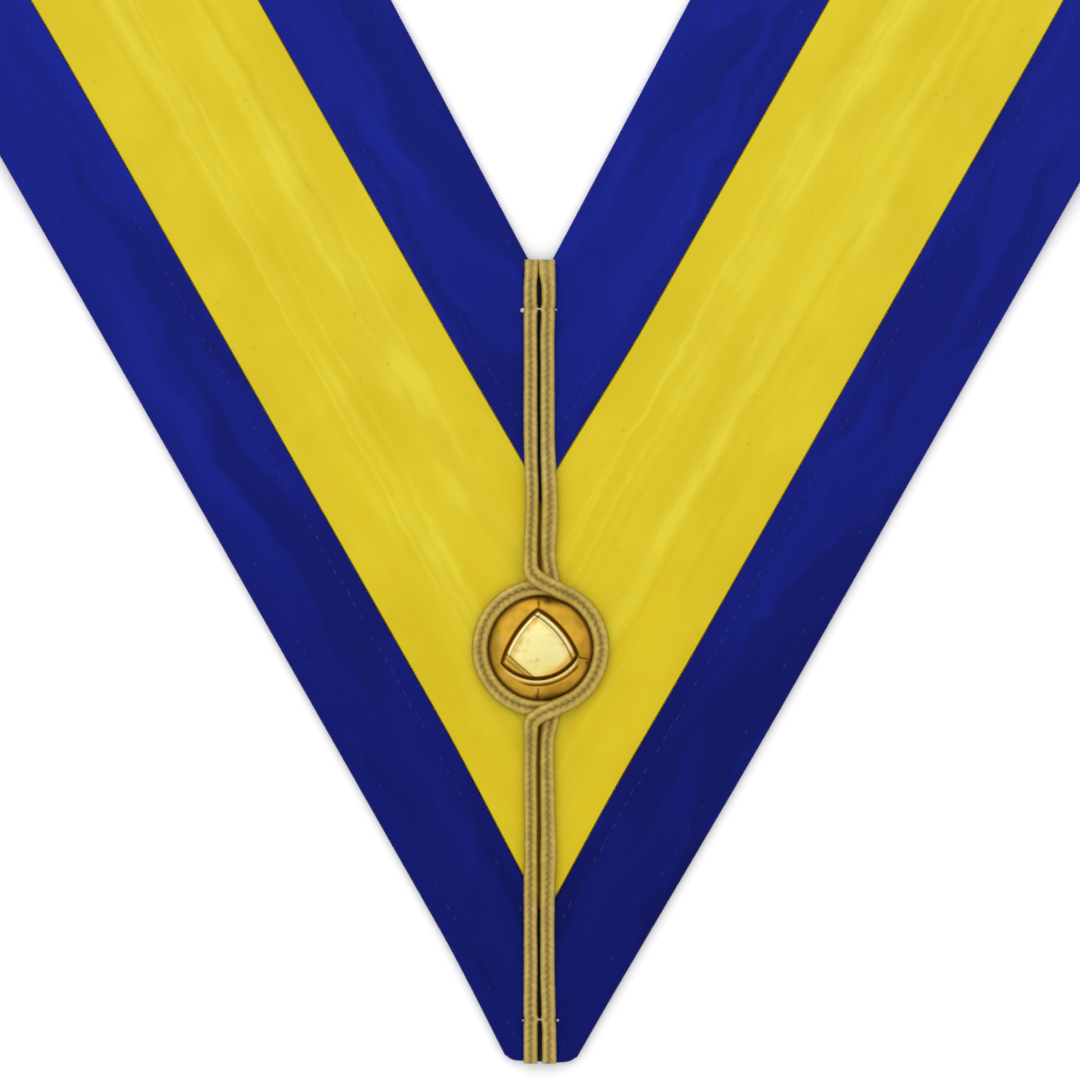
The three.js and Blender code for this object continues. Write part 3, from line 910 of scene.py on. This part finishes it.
class COLLAR_OT_add_blue_bands(Operator):
    """Add the two blue bands of the ribbon"""

    bl_idname = "collar.add_blue_bands"
    bl_label = "Blue Bands"

    def execute(self, context):
        settings = context.scene.collar.ribbon
        rows = stitch_rows(context.scene.collar.stitch)
        blue = blue_moire(settings)
        for name, node, section, row_names, low, high in (
            (
                "inner_blue_ribbon",
                "inner_blue_band",
                inner_section,
                ("inner_edge", "inner_seam"),
                -INNER_EASE,
                YELLOW_FROM,
            ),
            (
                "outer_blue_ribbon",
                "outer_blue_band",
                outer_section,
                ("outer_seam", "outer_edge"),
                YELLOW_TO,
                RIBBON,
            ),
        ):
            mesh = band_mesh(name, section, settings, [rows[row] for row in row_names])
            piece = add_piece(name, mesh, blue)
            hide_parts(node)
            declare_sheet(low, high)
        return {"FINISHED"}


class COLLAR_OT_add_yellow_band(Operator):
    """Add the yellow middle band of the ribbon"""

    bl_idname = "collar.add_yellow_band"
    bl_label = "Yellow Band"

    def execute(self, context):
        settings = context.scene.collar.ribbon
        mesh = band_mesh("centre_yellow_ribbon", centre_section, settings, [])
        piece = add_piece("centre_yellow_ribbon", mesh, yellow_moire(settings))
        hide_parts("centre_yellow_band")
        declare_sheet(YELLOW_FROM - LAP, YELLOW_TO + LAP)
        return {"FINISHED"}


def stitch_template(length, thread):
    """One stitch along X: a slim closed form with six sides, arched so that its ends dive in."""
    bm = bmesh.new()
    bmesh.ops.create_uvsphere(bm, u_segments=6, v_segments=6, radius=1)
    for vert in bm.verts:
        x, y, z = vert.co
        fullness = (1 - z**4) ** 0.5 if abs(z) < 1 else 0
        around = math.hypot(x, y) or 1
        vert.co = (z * length / 2, x / around * fullness * thread / 2, y / around * fullness * thread / 2)
        if abs(z) > 0.999:
            vert.co = (z * length / 2, 0, 0)
        vert.co.z += thread * (0.35 - 0.6 * z * z)
    bmesh.ops.recalc_face_normals(bm, faces=bm.faces)
    return mesh_from(bm, "stitch")


def row_of_stitches(template, count, pitch):
    """count copies of the template along X, made by an array and joined into one mesh."""
    holder = bpy.data.objects.new("stitch_row", template)
    bpy.context.scene.collection.objects.link(holder)
    array = holder.modifiers.new("copies", "ARRAY")
    array.count = count
    array.use_relative_offset = False
    array.use_constant_offset = True
    array.constant_offset_displace = (pitch, 0, 0)
    evaluated = holder.evaluated_get(bpy.context.evaluated_depsgraph_get())
    row = bpy.data.meshes.new_from_object(evaluated)
    bpy.data.objects.remove(holder)
    return row


def vertices_of(mesh):
    places = np.zeros(len(mesh.vertices) * 3)
    mesh.vertices.foreach_get("co", places)
    return places.reshape(-1, 3)


def lay_stitches(mesh, copies, w_row, start, side, settings, stitch, rows, reverse, sunk_more, seed):
    """Moves a straight row of stitches onto the face or the reverse of the ribbon, a little unevenly."""
    places = vertices_of(mesh)
    copy = np.arange(len(places)) // (len(places) // copies)
    draw = np.random.default_rng(seed)
    skew = draw.normal(0, 0.03, copies)[copy]
    shift = draw.normal(0, 0.12 * MM, copies)[copy]
    sunk = ((draw.uniform(0, 1, copies) ** 1.2 * 0.85 + sunk_more) * stitch.thread)[copy]
    middle = copy * stitch.pitch
    s = start + places[:, 0]
    w = w_row + places[:, 1] + shift + skew * (places[:, 0] - middle)
    lift = swell(s, w, side, settings.swell)
    if reverse:
        up = sunk - places[:, 2]
    else:
        up = CLOTH + face_relief(s, w, side, settings.channel, rows) + places[:, 2] - sunk
    mesh.vertices.foreach_set("co", ribbon_place(s, w, up, side, lift).ravel())
    mesh.update()


def joined(name, meshes):
    """One mesh from several."""
    bm = bmesh.new()
    for mesh in meshes:
        bm.from_mesh(mesh)
        bpy.data.meshes.remove(mesh)
    bmesh.ops.recalc_face_normals(bm, faces=bm.faces)
    return mesh_from(bm, name)


def stitches_of_band(name, settings, stitch, rows, band_rows, seed):
    """Rows of stitches on the face all round, and on the reverse where it lies uppermost behind."""
    template = stitch_template(stitch.length, stitch.thread)
    clear_of_braid = BRAID_OFFSET + BRAID_WIDTH / 2 + 0.6 * MM
    pulled_in = [rows[row] for row in band_rows]
    meshes = []
    for row_number, row in enumerate(band_rows):
        w = rows[row]
        mitre = (clear_of_braid - w * COS_POINT) / SIN_POINT
        behind = (FOLD_AT + ROLL) / TOWARDS[0] - w / math.tan(FOLD_ANGLE) + 2 * MM
        for side in (-1, 1):
            for start, end, reverse in ((mitre, behind, False), (behind, BACK_MIDDLE, True)):
                copies = int((end - start) / stitch.pitch)
                mesh = row_of_stitches(template, copies, stitch.pitch)
                draw = seed + 10 * row_number + side + 5 * reverse
                sunk_more = 0.4 if row.endswith("edge") else 0.05
                lay_stitches(
                    mesh, copies, w, start, side, settings, stitch, pulled_in, reverse, sunk_more, draw
                )
                meshes.append(mesh)
    bpy.data.meshes.remove(template)
    return joined(name, meshes)


class COLLAR_OT_add_stitching(Operator):
    """Add the rows of stitches in the two blue bands"""

    bl_idname = "collar.add_stitching"
    bl_label = "Stitching"

    def execute(self, context):
        settings = context.scene.collar.ribbon
        stitch = context.scene.collar.stitch
        rows = stitch_rows(stitch)
        thread = thread_material("blue_sewing_thread", stitch.colour, 0.5)
        for name, band_rows, seed in (
            ("inner_band_stitches", ["inner_edge", "inner_seam"], 300),
            ("outer_band_stitches", ["outer_seam", "outer_edge"], 400),
        ):
            mesh = stitches_of_band(name, settings, stitch, rows, band_rows, seed)
            add_piece(name, mesh, thread)
        return {"FINISHED"}


def bezier(points, shares):
    """Points of a cubic curve at these shares."""
    a, b, c, d = (np.array(point)[None] for point in points)
    u = shares[:, None]
    return a * (1 - u) ** 3 + 3 * b * u * (1 - u) ** 2 + 3 * c * u * u * (1 - u) + d * u**3


def knot_bend(up, bend):
    """From the straight line of a braid to the ring, above (up 1) or below (up -1) the button's centre."""
    rise, degrees, line_pull, ring_pull = bend
    angle = math.radians(degrees)
    outwards = np.array((math.sin(angle), up * math.cos(angle)))
    onwards = np.array((math.cos(angle), -up * math.sin(angle)))
    leave = np.array((-BRAID_OFFSET, up * (RING_RADIUS + rise)))
    on_ring = outwards * RING_RADIUS
    points = (leave, leave - np.array((0, up * line_pull)), on_ring - onwards * ring_pull, on_ring)
    return bezier(points, np.linspace(0, 1, 80))


def even_route(route, step):
    """The same route with its points step apart."""
    lengths = np.concatenate(((0,), np.cumsum(np.linalg.norm(np.diff(route, axis=0), axis=1))))
    at = np.linspace(0, lengths[-1], round(lengths[-1] / step))
    return np.stack([np.interp(at, lengths, route[:, axis]) for axis in range(2)], axis=1), at


def braid_route(side, bends, step):
    """The middle line of a braid seen from above, round the button on one side, from its centre."""
    turns = np.linspace(math.radians(bends[1][1]), math.pi - math.radians(bends[-1][1]), 160)[1:-1]
    ring = np.stack((np.sin(turns), np.cos(turns)), axis=1) * RING_RADIUS
    top = np.array([(-BRAID_OFFSET, BUTTON_DROP + NOTCH_RISE + BRAID_OVERRUN)])
    bottom = np.array([(-BRAID_OFFSET, BUTTON_DROP + TIP_Y + TIP_DRAW - BRAID_OVERRUN)])
    route = np.concatenate((top, knot_bend(1, bends[1]), ring, knot_bend(-1, bends[-1])[::-1], bottom))
    route, at = even_route(route, step)
    return route * (side, 1), at


def braid_outline(count):
    """Two cords side by side: lobe centre, turn round it and which lobe, for each point."""
    radius = CORD / 2
    centre = (CORD - CORD_BITE) / 2
    waist = math.pi - math.acos(centre / radius)
    turns = np.linspace(-waist, waist, count + 1)[:-1]
    lobe = np.concatenate((np.full(count, 1.0), np.full(count, -1.0)))
    turn = np.concatenate((turns, turns))
    return lobe, turn, centre, radius


def braid_lie(route, at, over, seed):
    """How a braid lies along its route from the button's centre: its shift to the right, its width and
    height as shares, how gathered it is at the top and how high the middle of its cords lies."""
    y = route[:, 1] - BUTTON_DROP
    on_right = route[:, 0] > 0
    straight = ease((np.abs(route[:, 1]) - RING_RADIUS - 2.5 * MM) / (6 * MM))
    from_top = NOTCH_RISE + BRAID_OVERRUN - y
    from_tip = y - TIP_Y - TIP_DRAW + BRAID_OVERRUN
    gather = 1 - ease((from_top - 2.2 * MM) / (5 * MM))
    pinch = bump(y - TOP_TACK_Y, TACK_PINCH) + bump(y - TIP_TACK_Y, TACK_PINCH)
    pinch = pinch * (np.abs(route[:, 1]) > 2 * RING_RADIUS)
    loose = on_right * np.max([bump(y - spot, reach) for spot, reach in LOOSE_SPOTS], axis=0)

    narrower = np.where(on_right, LINE_SQUEEZE[1], LINE_SQUEEZE[0])
    width = 1 + (0.15 * loose - narrower) * straight + 0.1 * pinch + np.where(on_right, 0.2, 0.04) * gather
    width = width + 0.025 * soft_noise(at, 0 * at, 6 * MM, 1, seed + 1)
    height = 1 - 0.05 * straight - 0.12 * pinch - 0.08 * gather

    drawn = np.where(on_right, -0.2 * gather - 0.25 * pinch, 0.24 * gather + 0.25 * pinch)
    drawn = drawn + 0.42 * bump(y - BOWED_SPOT[0], BOWED_SPOT[1]) + 0.25 * loose
    drawn = drawn + 0.25 * on_right * bump(y - TOP_BOWED_SPOT[0], TOP_BOWED_SPOT[1])
    to_line = LINE_MIDDLES[1] - BRAID_OFFSET + TIP_SHIFT * ease((TIP_SHIFT_Y - y) / TIP_SHIFT_RUN)
    shift = drawn * MM + straight * on_right * to_line

    crossings = (RING_RADIUS + 2 * MM, -RING_RADIUS - 1.4 * MM)
    away = np.min([np.hypot(route[:, 0], route[:, 1] - crossing) for crossing in crossings], axis=0)
    rise = (CORD + CLEARANCE) * ease(1 - (away - CROSSING_HOLD) / CROSSING_FALL) if over else 0 * away
    tuck = 1.1 * MM * (1 - ease(from_top / (0.9 * MM)) + 1 - ease(from_tip / (0.9 * MM)))
    seat = BRAID_SEAT + rise - tuck - (0.05 * straight + 0.22 * pinch) * MM
    return shift, width, height, gather, seat


def braid_mesh(name, side, over, settings, seed):
    """A braid: two cords wrapped in slanting threads that meet in a groove."""
    route, at = braid_route(side, OVER_BENDS if over else UNDER_BENDS, BRAID_STEP)
    shift, width, height, gather, seat = braid_lie(route, at, over, seed)
    forward = np.gradient(route, at, axis=0)
    forward /= np.linalg.norm(forward, axis=1)[:, None]
    lobe, turn, centre, radius = braid_outline(20)
    lobe = lobe[:, None]
    turn = turn[:, None]

    # Threads: each has its own height and shade, drawn by its number
    phase = (at[None] + settings.slant * radius * np.abs(turn)) / settings.pitch + np.where(lobe > 0, 0, 0.5)
    phase = phase + 0.3 * soft_noise(at[None] + 0 * phase, lobe + 0 * phase, 6 * MM, 1, seed + 2)
    thread = np.floor(phase)
    profile = np.sin(math.pi * (phase - thread)) ** 0.6
    draws = np.random.default_rng(seed + 3).uniform(0, 1, 4096)
    draw = draws[(thread.astype(int) * 2 + (lobe > 0)) % len(draws)]

    # Outline of the two cords, with threads in the groove between them
    out = centre + radius * np.cos(turn)
    swollen = radius * height[None] + settings.relief * (profile * (0.7 + 0.5 * draw) - 0.5)
    wander = 0.07 * MM * soft_noise(at, 0 * at, 9 * MM, 1, seed)
    across = lobe * width[None] * (centre + swollen * np.cos(turn)) + wander
    up = lobe * swollen * np.sin(turn)
    up = np.where(up > 0, np.hypot(up, WEB_HEIGHT * bump(out, WEB_REACH)), up)
    x = (route[:, 0] + shift)[None] - forward[None, :, 1] * across
    y = route[None, :, 1] + forward[None, :, 0] * across
    places = np.stack((x, y + BUTTON_CENTRE.y, seat[None] + up), axis=-1)
    flat = np.stack(np.broadcast_arrays(at[None], radius * lobe * (turn + math.pi)), axis=-1)

    # Painted light on the braid: a painted highlight along each cord's crest, painted shade in the hollow
    # between the cords and in the notches between threads, and a random tone for each thread
    valley_shade = bump(out, 0.6 * MM) * (1 - 0.75 * gather)
    crest = bump(out - 1.3 * MM, 0.5 * MM)
    notch = (1 - profile) * (0.4 + 0.8 * draw)
    ridge = 0.6 + 0.32 * crest - valley_shade * (0.14 + 0.6 * notch) - 0.19 * notch + 0.2 * (draw - 0.5)
    return tube_mesh(name, places, flat, {"ridge": np.clip(ridge, 0, 1)})


class COLLAR_OT_add_braids(Operator):
    """Add the two gold braids that cross above and below the button"""

    bl_idname = "collar.add_braids"
    bl_label = "Braids"

    def execute(self, context):
        settings = context.scene.collar.braid
        gold = braid_material(settings)
        for name, node, side, over, seed in (
            ("upper_gold_braid", "upper_braid", 1, True, 500),
            ("under_gold_braid", "under_braid", -1, False, 520),
        ):
            piece = add_piece(name, braid_mesh(name, side, over, settings, seed), gold)
            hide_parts(node)
        return {"FINISHED"}


def thread_mesh(name, points, thread):
    """A round thread of small diameter along a smooth line through these points."""
    points = np.array(points)
    knots = np.linspace(0, 1, len(points))
    shares = np.linspace(0, 1, 12 * len(points))
    line = np.stack([np.interp(shares, knots, points[:, axis]) for axis in range(3)], axis=1)
    for _ in range(6):
        line[1:-1] = (line[:-2] + 2 * line[1:-1] + line[2:]) / 4
    forward = np.gradient(line, axis=0)
    forward /= np.linalg.norm(forward, axis=1)[:, None]
    level = np.cross(forward, (0, 1, 0.02))
    level /= np.linalg.norm(level, axis=1)[:, None]
    upright = np.cross(level, forward)
    turns = np.linspace(0, 2 * math.pi, 9)[:-1]
    ring = np.cos(turns)[:, None, None] * level[None] + np.sin(turns)[:, None, None] * upright[None]
    places = line[None] + ring * thread / 2
    lengths = np.linspace(0, 1, len(line))
    flat = np.stack(np.broadcast_arrays(lengths[None] * 0.01, turns[:, None] * thread / 2), axis=-1)
    return tube_mesh(name, places, flat)


def tack_points(y, wobble):
    """Route of a tack over both braids, in at each side and up for a moment between them."""
    braid_top = BRAID_SEAT + CORD / 2 - 0.75 * MM
    halves = []
    for sign, middle, squeeze in zip((-1, 1), LINE_MIDDLES, LINE_SQUEEZE):
        outside = middle + sign * BRAID_WIDTH * (1 - squeeze) / 2
        inside = middle - sign * BRAID_WIDTH * (1 - squeeze) / 2
        half = [
            (outside + sign * 0.15 * MM, CLOTH - 0.3 * MM),
            (outside + sign * 0.15 * MM, CLOTH + 0.6 * MM),
            (outside - sign * 0.3 * MM, CLOTH + 1.1 * MM),
            (outside - sign * 1.0 * MM, braid_top - 0.2 * MM),
            (middle, braid_top - 0.5 * MM),
            (inside + sign * 0.9 * MM, braid_top - 0.4 * MM),
            (inside - sign * 0.1 * MM, braid_top - 0.05 * MM),
        ]
        halves.append([(x, y + sign * wobble * math.sin(900 * x), z) for x, z in half])
    return [(x, INNER_POINT_Y + py, z) for x, py, z in halves[0] + halves[1][::-1]]


def knot_mesh(name, place, size, seed):
    """A small lump where a thread is tied off."""
    bm = bmesh.new()
    bmesh.ops.create_icosphere(bm, subdivisions=3, radius=size / 2)
    for vert in bm.verts:
        x, y, z = vert.co / size
        rough = 1 + 0.25 * float(soft_noise(x + z, y, 0.3, 0.3, seed))
        vert.co = Vector(place) + Vector((vert.co.x, vert.co.y * 0.85, vert.co.z)) * rough
    return mesh_from(bm, name)


class COLLAR_OT_add_tacks(Operator):
    """Add the pale thread that ties the braids near the notch and near the tip"""

    bl_idname = "collar.add_tacks"
    bl_label = "Tacks"

    def execute(self, context):
        stitch = context.scene.collar.stitch
        thread = thread_material("pale_sewing_thread", stitch.tack_colour, 0.55)
        # Each tack with its knots: x and size in millimetres
        for name, y, knots in (
            ("notch_tack", TOP_TACK_Y, ((-4.35, 1.3), (3.8, 0.5))),
            ("tip_tack", TIP_TACK_Y, ((-4.25, 0.6), (4.2, 0.7))),
        ):
            meshes = [thread_mesh(name, tack_points(y, 0.2 * MM), stitch.tack_thread)]
            for number, (x, size) in enumerate(knots):
                place = (x * MM, INNER_POINT_Y + y - 0.2 * MM, CLOTH + 0.8 * MM)
                meshes.append(knot_mesh(name, place, size * MM, KNOT_SEED + number))
            add_piece(name, joined(name, meshes), thread)
        return {"FINISHED"}


# Raised centre of the button: corners as shares of its radius, and the bulge of the side that follows
BOSS_CORNERS = ((-0.05, 0.715, 0.09), (-0.71, -0.275, 0.345), (0.675, -0.125, 0.095))
# Seams between the outer leaves: degrees round from +X, and the inner end as a share of the radius
SLITS = ((92, 0.76), (-13, 0.72), (-93, 0.75))
# Painted highlights on the outer leaves, laid as pale spots: place from the middle and radius in millimetres,
# and how strong
PAINTED_HIGHLIGHT_SPOTS = (
    (-10.0, 2.0, 1.2, 0.12),
    (-8.4, -6.2, 1.5, 0.14),
    (10.6, -3.6, 0.7, 0.15),
    (-0.4, -10.3, 1.1, 0.2),
)
# Small dark pits beside the ring, listed in the same way
BUTTON_PITS = ((1.9, 12.0, 0.85, 1), (-0.7, -12.1, 0.75, 1), (11.6, -3.6, 0.5, 1))
BUTTON_RIM = 1.5 * MM
# The face in millimetres: heights over the button's foot, then what stands out or is pressed in
LEAVES_RISE = 3.0
PLATEAU_HEIGHT = 5.35
PLATEAU_CROWN = 0.22
FRAME_RISE = 0.14
LINE_DEPTH = 0.12
LIP_RISE = 0.22
CHANNEL_DEPTH = 0.55
SECOND_DEPTH = 0.35
SLIT_DEPTH = 0.25
PIT_DEPTH = 0.4
FACET_FROM = (-7.6, -1.9)
FACET_TO = (-3.07, -5.8)


def boss_sides(x, y, size):
    """Signed distance to each bulging side of the raised centre, negative inside, for a button of this
    radius."""
    corners = [np.array(corner[:2]) * size for corner in BOSS_CORNERS]
    distances = []
    for number, (_, _, bulge) in enumerate(BOSS_CORNERS):
        start = corners[number]
        chord = corners[(number + 1) % 3] - start
        rise = bulge * size
        radius = (chord @ chord / 4 + rise * rise) / (2 * rise)
        # The corners run counter-clockwise, so the outside lies to the right of each side
        outwards = np.array((chord[1], -chord[0])) / np.linalg.norm(chord)
        centre = start + chord / 2 + outwards * (rise - radius)
        distances.append(np.hypot(x - centre[0], y - centre[1]) - radius)
    return distances


def window(place, start, rise, end, fall):
    """1 between start and end, easing in over rise and out over fall."""
    return ease((place - start) / rise) * ease((end - place) / fall)


def spots(x, y, table):
    """The strongest at each place of several round spots."""
    each = [strength * bump(np.hypot(x - right, y - up), radius) for right, up, radius, strength in table]
    return np.max(each, axis=0)


def slits_between_leaves(x, y, size):
    """1 in the seams between the outer leaves."""
    slits = 0 * x
    for turn, inner_share in SLITS:
        angle = math.radians(turn)
        off_line = -x * math.sin(angle) + y * math.cos(angle)
        out = x * math.cos(angle) + y * math.sin(angle)
        slits = np.maximum(slits, bump(off_line, 0.2) * ease((out - inner_share * size) / 0.5))
    return slits


def button_relief(x, y, size):
    """Height of the face over the button's foot, how pale the worn gilt is there with painted highlights and
    painted shade among it, and how dark it is from tarnish in the grooves and painted shade round the rim.
    Lengths in and out are in millimetres, and size is the button's radius."""
    r = np.hypot(x, y)
    share = np.clip(r / size, 0, 1)
    left, bottom, right = boss_sides(x, y, size)
    edge = np.maximum(np.maximum(left, bottom), right)
    leaves = BUTTON_RIM / MM + LEAVES_RISE * (1 - share**4) ** 0.75
    leaves = leaves + 0.18 * soft_noise(x, y, 4.2, 4.2, BUTTON_SEED) * ease((1 - share) * 8)
    plateau = PLATEAU_HEIGHT + PLATEAU_CROWN * (1 - (r / 9) ** 2)
    plateau = plateau + 0.05 * soft_noise(x, y, 3.6, 3.6, BUTTON_SEED + 1)

    # Frame along the left and the right side, with a fine line inside it
    frame = FRAME_RISE * (bump(left + 0.5, 0.4) + bump(right + 0.5, 0.42) + 0.5 * bump(right + 1.65, 0.26))
    line = 0.42 * bump(left + 1.1, 0.24) + 0.85 * bump(right + 1.2, 0.24)

    # Facet across the lower left corner, with a second line on it
    chord = np.subtract(FACET_TO, FACET_FROM)
    beyond = ((x - FACET_FROM[0]) * chord[1] - (y - FACET_FROM[1]) * chord[0]) / np.linalg.norm(chord)
    facet = ease((beyond + 0.2) / 0.4)
    line = line * (1 - facet) + 0.75 * bump(beyond, 0.22) + 0.5 * bump(beyond - 1.0, 0.2)
    inside = plateau - 0.25 * np.maximum(beyond, 0) + frame - LINE_DEPTH * np.minimum(line, 1)

    # Channel round the raised centre, then under its bottom side a flat lip and a second channel
    channel = bump(edge - 0.36, 0.36)
    along_bottom = ease((bottom - np.maximum(left, right)) / 1.2 + 0.6)
    lip = window(bottom, 0.65, 0.3, 1.85, 0.4) * along_bottom
    lip = lip * (0.3 + 0.7 * window(x, -8.6, 4, 9.2, 1.2)) * window(x, -9.4, 1, 9.4, 0.5)
    second = bump(bottom - 2.1, 0.26) * along_bottom * window(x, -6.5, 4, 9.6, 0.8)
    slits = slits_between_leaves(x, y, size)
    pits = spots(x, y, BUTTON_PITS)
    outside = leaves + LIP_RISE * lip - CHANNEL_DEPTH * channel - SECOND_DEPTH * second
    outside = outside - SLIT_DEPTH * slits - PIT_DEPTH * pits
    over = ease((edge + 0.22) / 0.44)
    height = inside * (1 - over) + outside * over

    # Painted shade turns the pale centre amber inside its bottom and its two upper sides, and painted
    # highlights lie on the outer leaves
    raised = ease((-edge - 0.1) / 0.25) * (1 - 0.85 * facet)
    patchy = 0.5 + 0.5 * soft_noise(x, y, 1.6, 1.6, BUTTON_SEED + 2)
    # Painted shade: amber bands inside the bottom and the two upper sides of the raised centre
    amber = 0.9 * bump(bottom + 0.6, 0.8) * ease((x + 1) / 5)
    amber = amber + (0.95 * bump(left + 1.7, 0.6) + 0.45 * bump(right + 1.9, 0.6)) * patchy
    # Painted highlights: pale spots on the outer leaves
    worn = spots(x, y, PAINTED_HIGHLIGHT_SPOTS)
    polish = np.maximum(raised * (1 - np.minimum(amber, 0.8)), (0.75 * lip + worn) * over)
    dark_outside = np.max([1.1 * channel, 0.8 * second, 0.7 * slits, pits], axis=0)
    groove = np.clip(dark_outside * over + line * (1 - over), 0, 1)
    # Painted shade round the rim, where the button's edge falls away beside the ring of braid
    rim_shade = ease((share - 0.915) / 0.07) * 0.9
    return height, polish, np.maximum(groove, rim_shade)


def button_mesh(settings):
    """The button: a profile spun round, then its face pressed into relief."""
    bm = bmesh.new()
    radii = BUTTON_RADIUS * np.linspace(1, 0, settings.rings + 1)
    profile = [(0.0, 0.0), (BUTTON_RADIUS * 0.5, 0.0), (BUTTON_RADIUS * 0.97, 0.0)]
    profile += [(BUTTON_RADIUS, 0.1 * MM), (BUTTON_RADIUS, BUTTON_RIM * 0.6)]
    profile += [(radius, BUTTON_RIM) for radius in radii]
    verts = [bm.verts.new((radius, 0, height)) for radius, height in profile]
    edges = [bm.edges.new(pair) for pair in zip(verts, verts[1:])]
    bmesh.ops.spin(
        bm,
        geom=verts + edges,
        cent=(0, 0, 0),
        axis=(0, 0, 1),
        angle=2 * math.pi,
        steps=settings.sides,
        use_merge=True,
    )
    bmesh.ops.remove_doubles(bm, verts=bm.verts, dist=1e-6)
    polish_and_painted_light_layer = bm.verts.layers.float.new("polish")
    tarnish_and_rim_shade_layer = bm.verts.layers.float.new("groove")
    places = np.array([vert.co[:] for vert in bm.verts])
    height, polish, groove = button_relief(places[:, 0] / MM, places[:, 1] / MM, BUTTON_RADIUS / MM)
    top = places[:, 2] > BUTTON_RIM * 0.95
    for number, vert in enumerate(bm.verts):
        if top[number]:
            vert.co.z = height[number] * MM
            vert[polish_and_painted_light_layer] = polish[number]
            vert[tarnish_and_rim_shade_layer] = groove[number]
        else:
            # The side wall and underside take the full dark colour: painted shade, as round the rim
            vert[tarnish_and_rim_shade_layer] = 1
    bmesh.ops.recalc_face_normals(bm, faces=bm.faces)
    bmesh.ops.translate(bm, verts=bm.verts, vec=(BUTTON_CENTRE.x, BUTTON_CENTRE.y, BUTTON_LOW.z))
    return mesh_from(bm, "gilt_dome_button")


class COLLAR_OT_add_button(Operator):
    """Add the gilt button inside the ring of braid"""

    bl_idname = "collar.add_button"
    bl_label = "Button"

    def execute(self, context):
        settings = context.scene.collar.button
        gilt = gilt_material(settings)
        piece = add_piece("gilt_dome_button", button_mesh(settings), gilt, math.radians(65))
        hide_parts("gilt_button")
        return {"FINISHED"}


def floor_material(colour):
    """Plain pale floor."""
    material, start = new_material("pale_floor")
    shade = start.noise(start.object_place(), 3, detail=2).step(0.2, 0.8)
    base = shade.mix(opaque(dimmed(colour, 0.985)), opaque(colour))
    finish_surface(start, {"Base Color": base, "Roughness": 0.85, "Specular IOR Level": 0.1})
    return material


def add_sky(strength):
    """Soft light from all round, brightest overhead."""
    world = bpy.data.worlds.new("studio")
    bpy.context.scene.world = world
    world.use_nodes = True
    world.node_tree.nodes.clear()
    start = Wire(world.node_tree)
    up = start.node("ShaderNodeTexCoord").part(2)
    stops = ((0, (0.62, 0.61, 0.6)), (0.35, (0.8, 0.79, 0.78)), (0.8, (1, 1, 1)), (1, (1.05, 1.05, 1.05)))
    colour = start.node("ShaderNodeValToRGB", {"stops": stops}, {0: up})
    background = start.node("ShaderNodeBackground", None, {"Color": colour, "Strength": strength})
    start.node("ShaderNodeOutputWorld", None, {"Surface": background})


class COLLAR_OT_add_stage(Operator):
    """Add the floor, the soft light and the camera"""

    bl_idname = "collar.add_stage"
    bl_label = "Stage"

    def execute(self, context):
        settings = context.scene.collar.stage
        bm = bmesh.new()
        bmesh.ops.create_circle(bm, cap_ends=True, segments=96, radius=settings.floor_radius)
        bmesh.ops.translate(bm, verts=bm.verts, vec=(0, 0, CAD_BOX[0].z - 0.1 * MM))
        mesh = mesh_from(bm, "floor")
        mesh.materials.append(floor_material(settings.floor_colour))
        floor = bpy.data.objects.new("floor", mesh)
        context.scene.collection.objects.link(floor)

        aim = Vector(AIM)
        camera = bpy.data.cameras.new("camera")
        camera.sensor_width = 36
        camera.lens = camera.sensor_width * settings.camera_height / settings.view_width
        camera.clip_end = 50
        holder = bpy.data.objects.new("camera", camera)
        holder.location = aim + Vector((0, 0, settings.camera_height))
        context.scene.collection.objects.link(holder)
        context.scene.camera = holder

        lamp = bpy.data.lights.new("overhead", "AREA")
        lamp.shape = "DISK"
        lamp.size = LAMP_SIZE
        lamp.energy = settings.lamp_power
        lamp_holder = bpy.data.objects.new("overhead", lamp)
        lamp_holder.location = aim + Vector(LAMP_FROM_AIM)
        lamp_holder.rotation_euler = (aim - lamp_holder.location).to_track_quat("-Z", "Y").to_euler()
        context.scene.collection.objects.link(lamp_holder)
        add_sky(settings.sky_strength)
        context.scene.view_settings.view_transform = "Standard"
        return {"FINISHED"}


class COLLAR_PT_panel(Panel):
    """Buttons that add the collar's pieces"""

    bl_label = "Collar"
    bl_idname = "COLLAR_PT_panel"
    bl_space_type = "VIEW_3D"
    bl_region_type = "UI"
    bl_category = "Collar"

    def draw(self, context):
        for operator in OPERATORS:
            self.layout.operator(operator.bl_idname)


OPERATORS = (
    COLLAR_OT_add_stage,
    COLLAR_OT_add_yellow_band,
    COLLAR_OT_add_blue_bands,
    COLLAR_OT_add_stitching,
    COLLAR_OT_add_braids,
    COLLAR_OT_add_tacks,
    COLLAR_OT_add_button,
)
GROUPS = (RibbonSettings, StitchSettings, BraidSettings, ButtonSettings, StageSettings, CollarSettings)
CLASSES = GROUPS + OPERATORS + (COLLAR_PT_panel,)


def register():
    for cls in CLASSES:
        bpy.utils.register_class(cls)
    bpy.types.Scene.collar = PointerProperty(type=CollarSettings)


def unregister():
    del bpy.types.Scene.collar
    for cls in reversed(CLASSES):
        bpy.utils.unregister_class(cls)


def main():
    """Adds every piece."""
    register()
    for operator in OPERATORS:
        group, name = operator.bl_idname.split(".")
        getattr(getattr(bpy.ops, group), name)()
    bpy.context.view_layer.update()


if __name__ == "__main__":
    main()
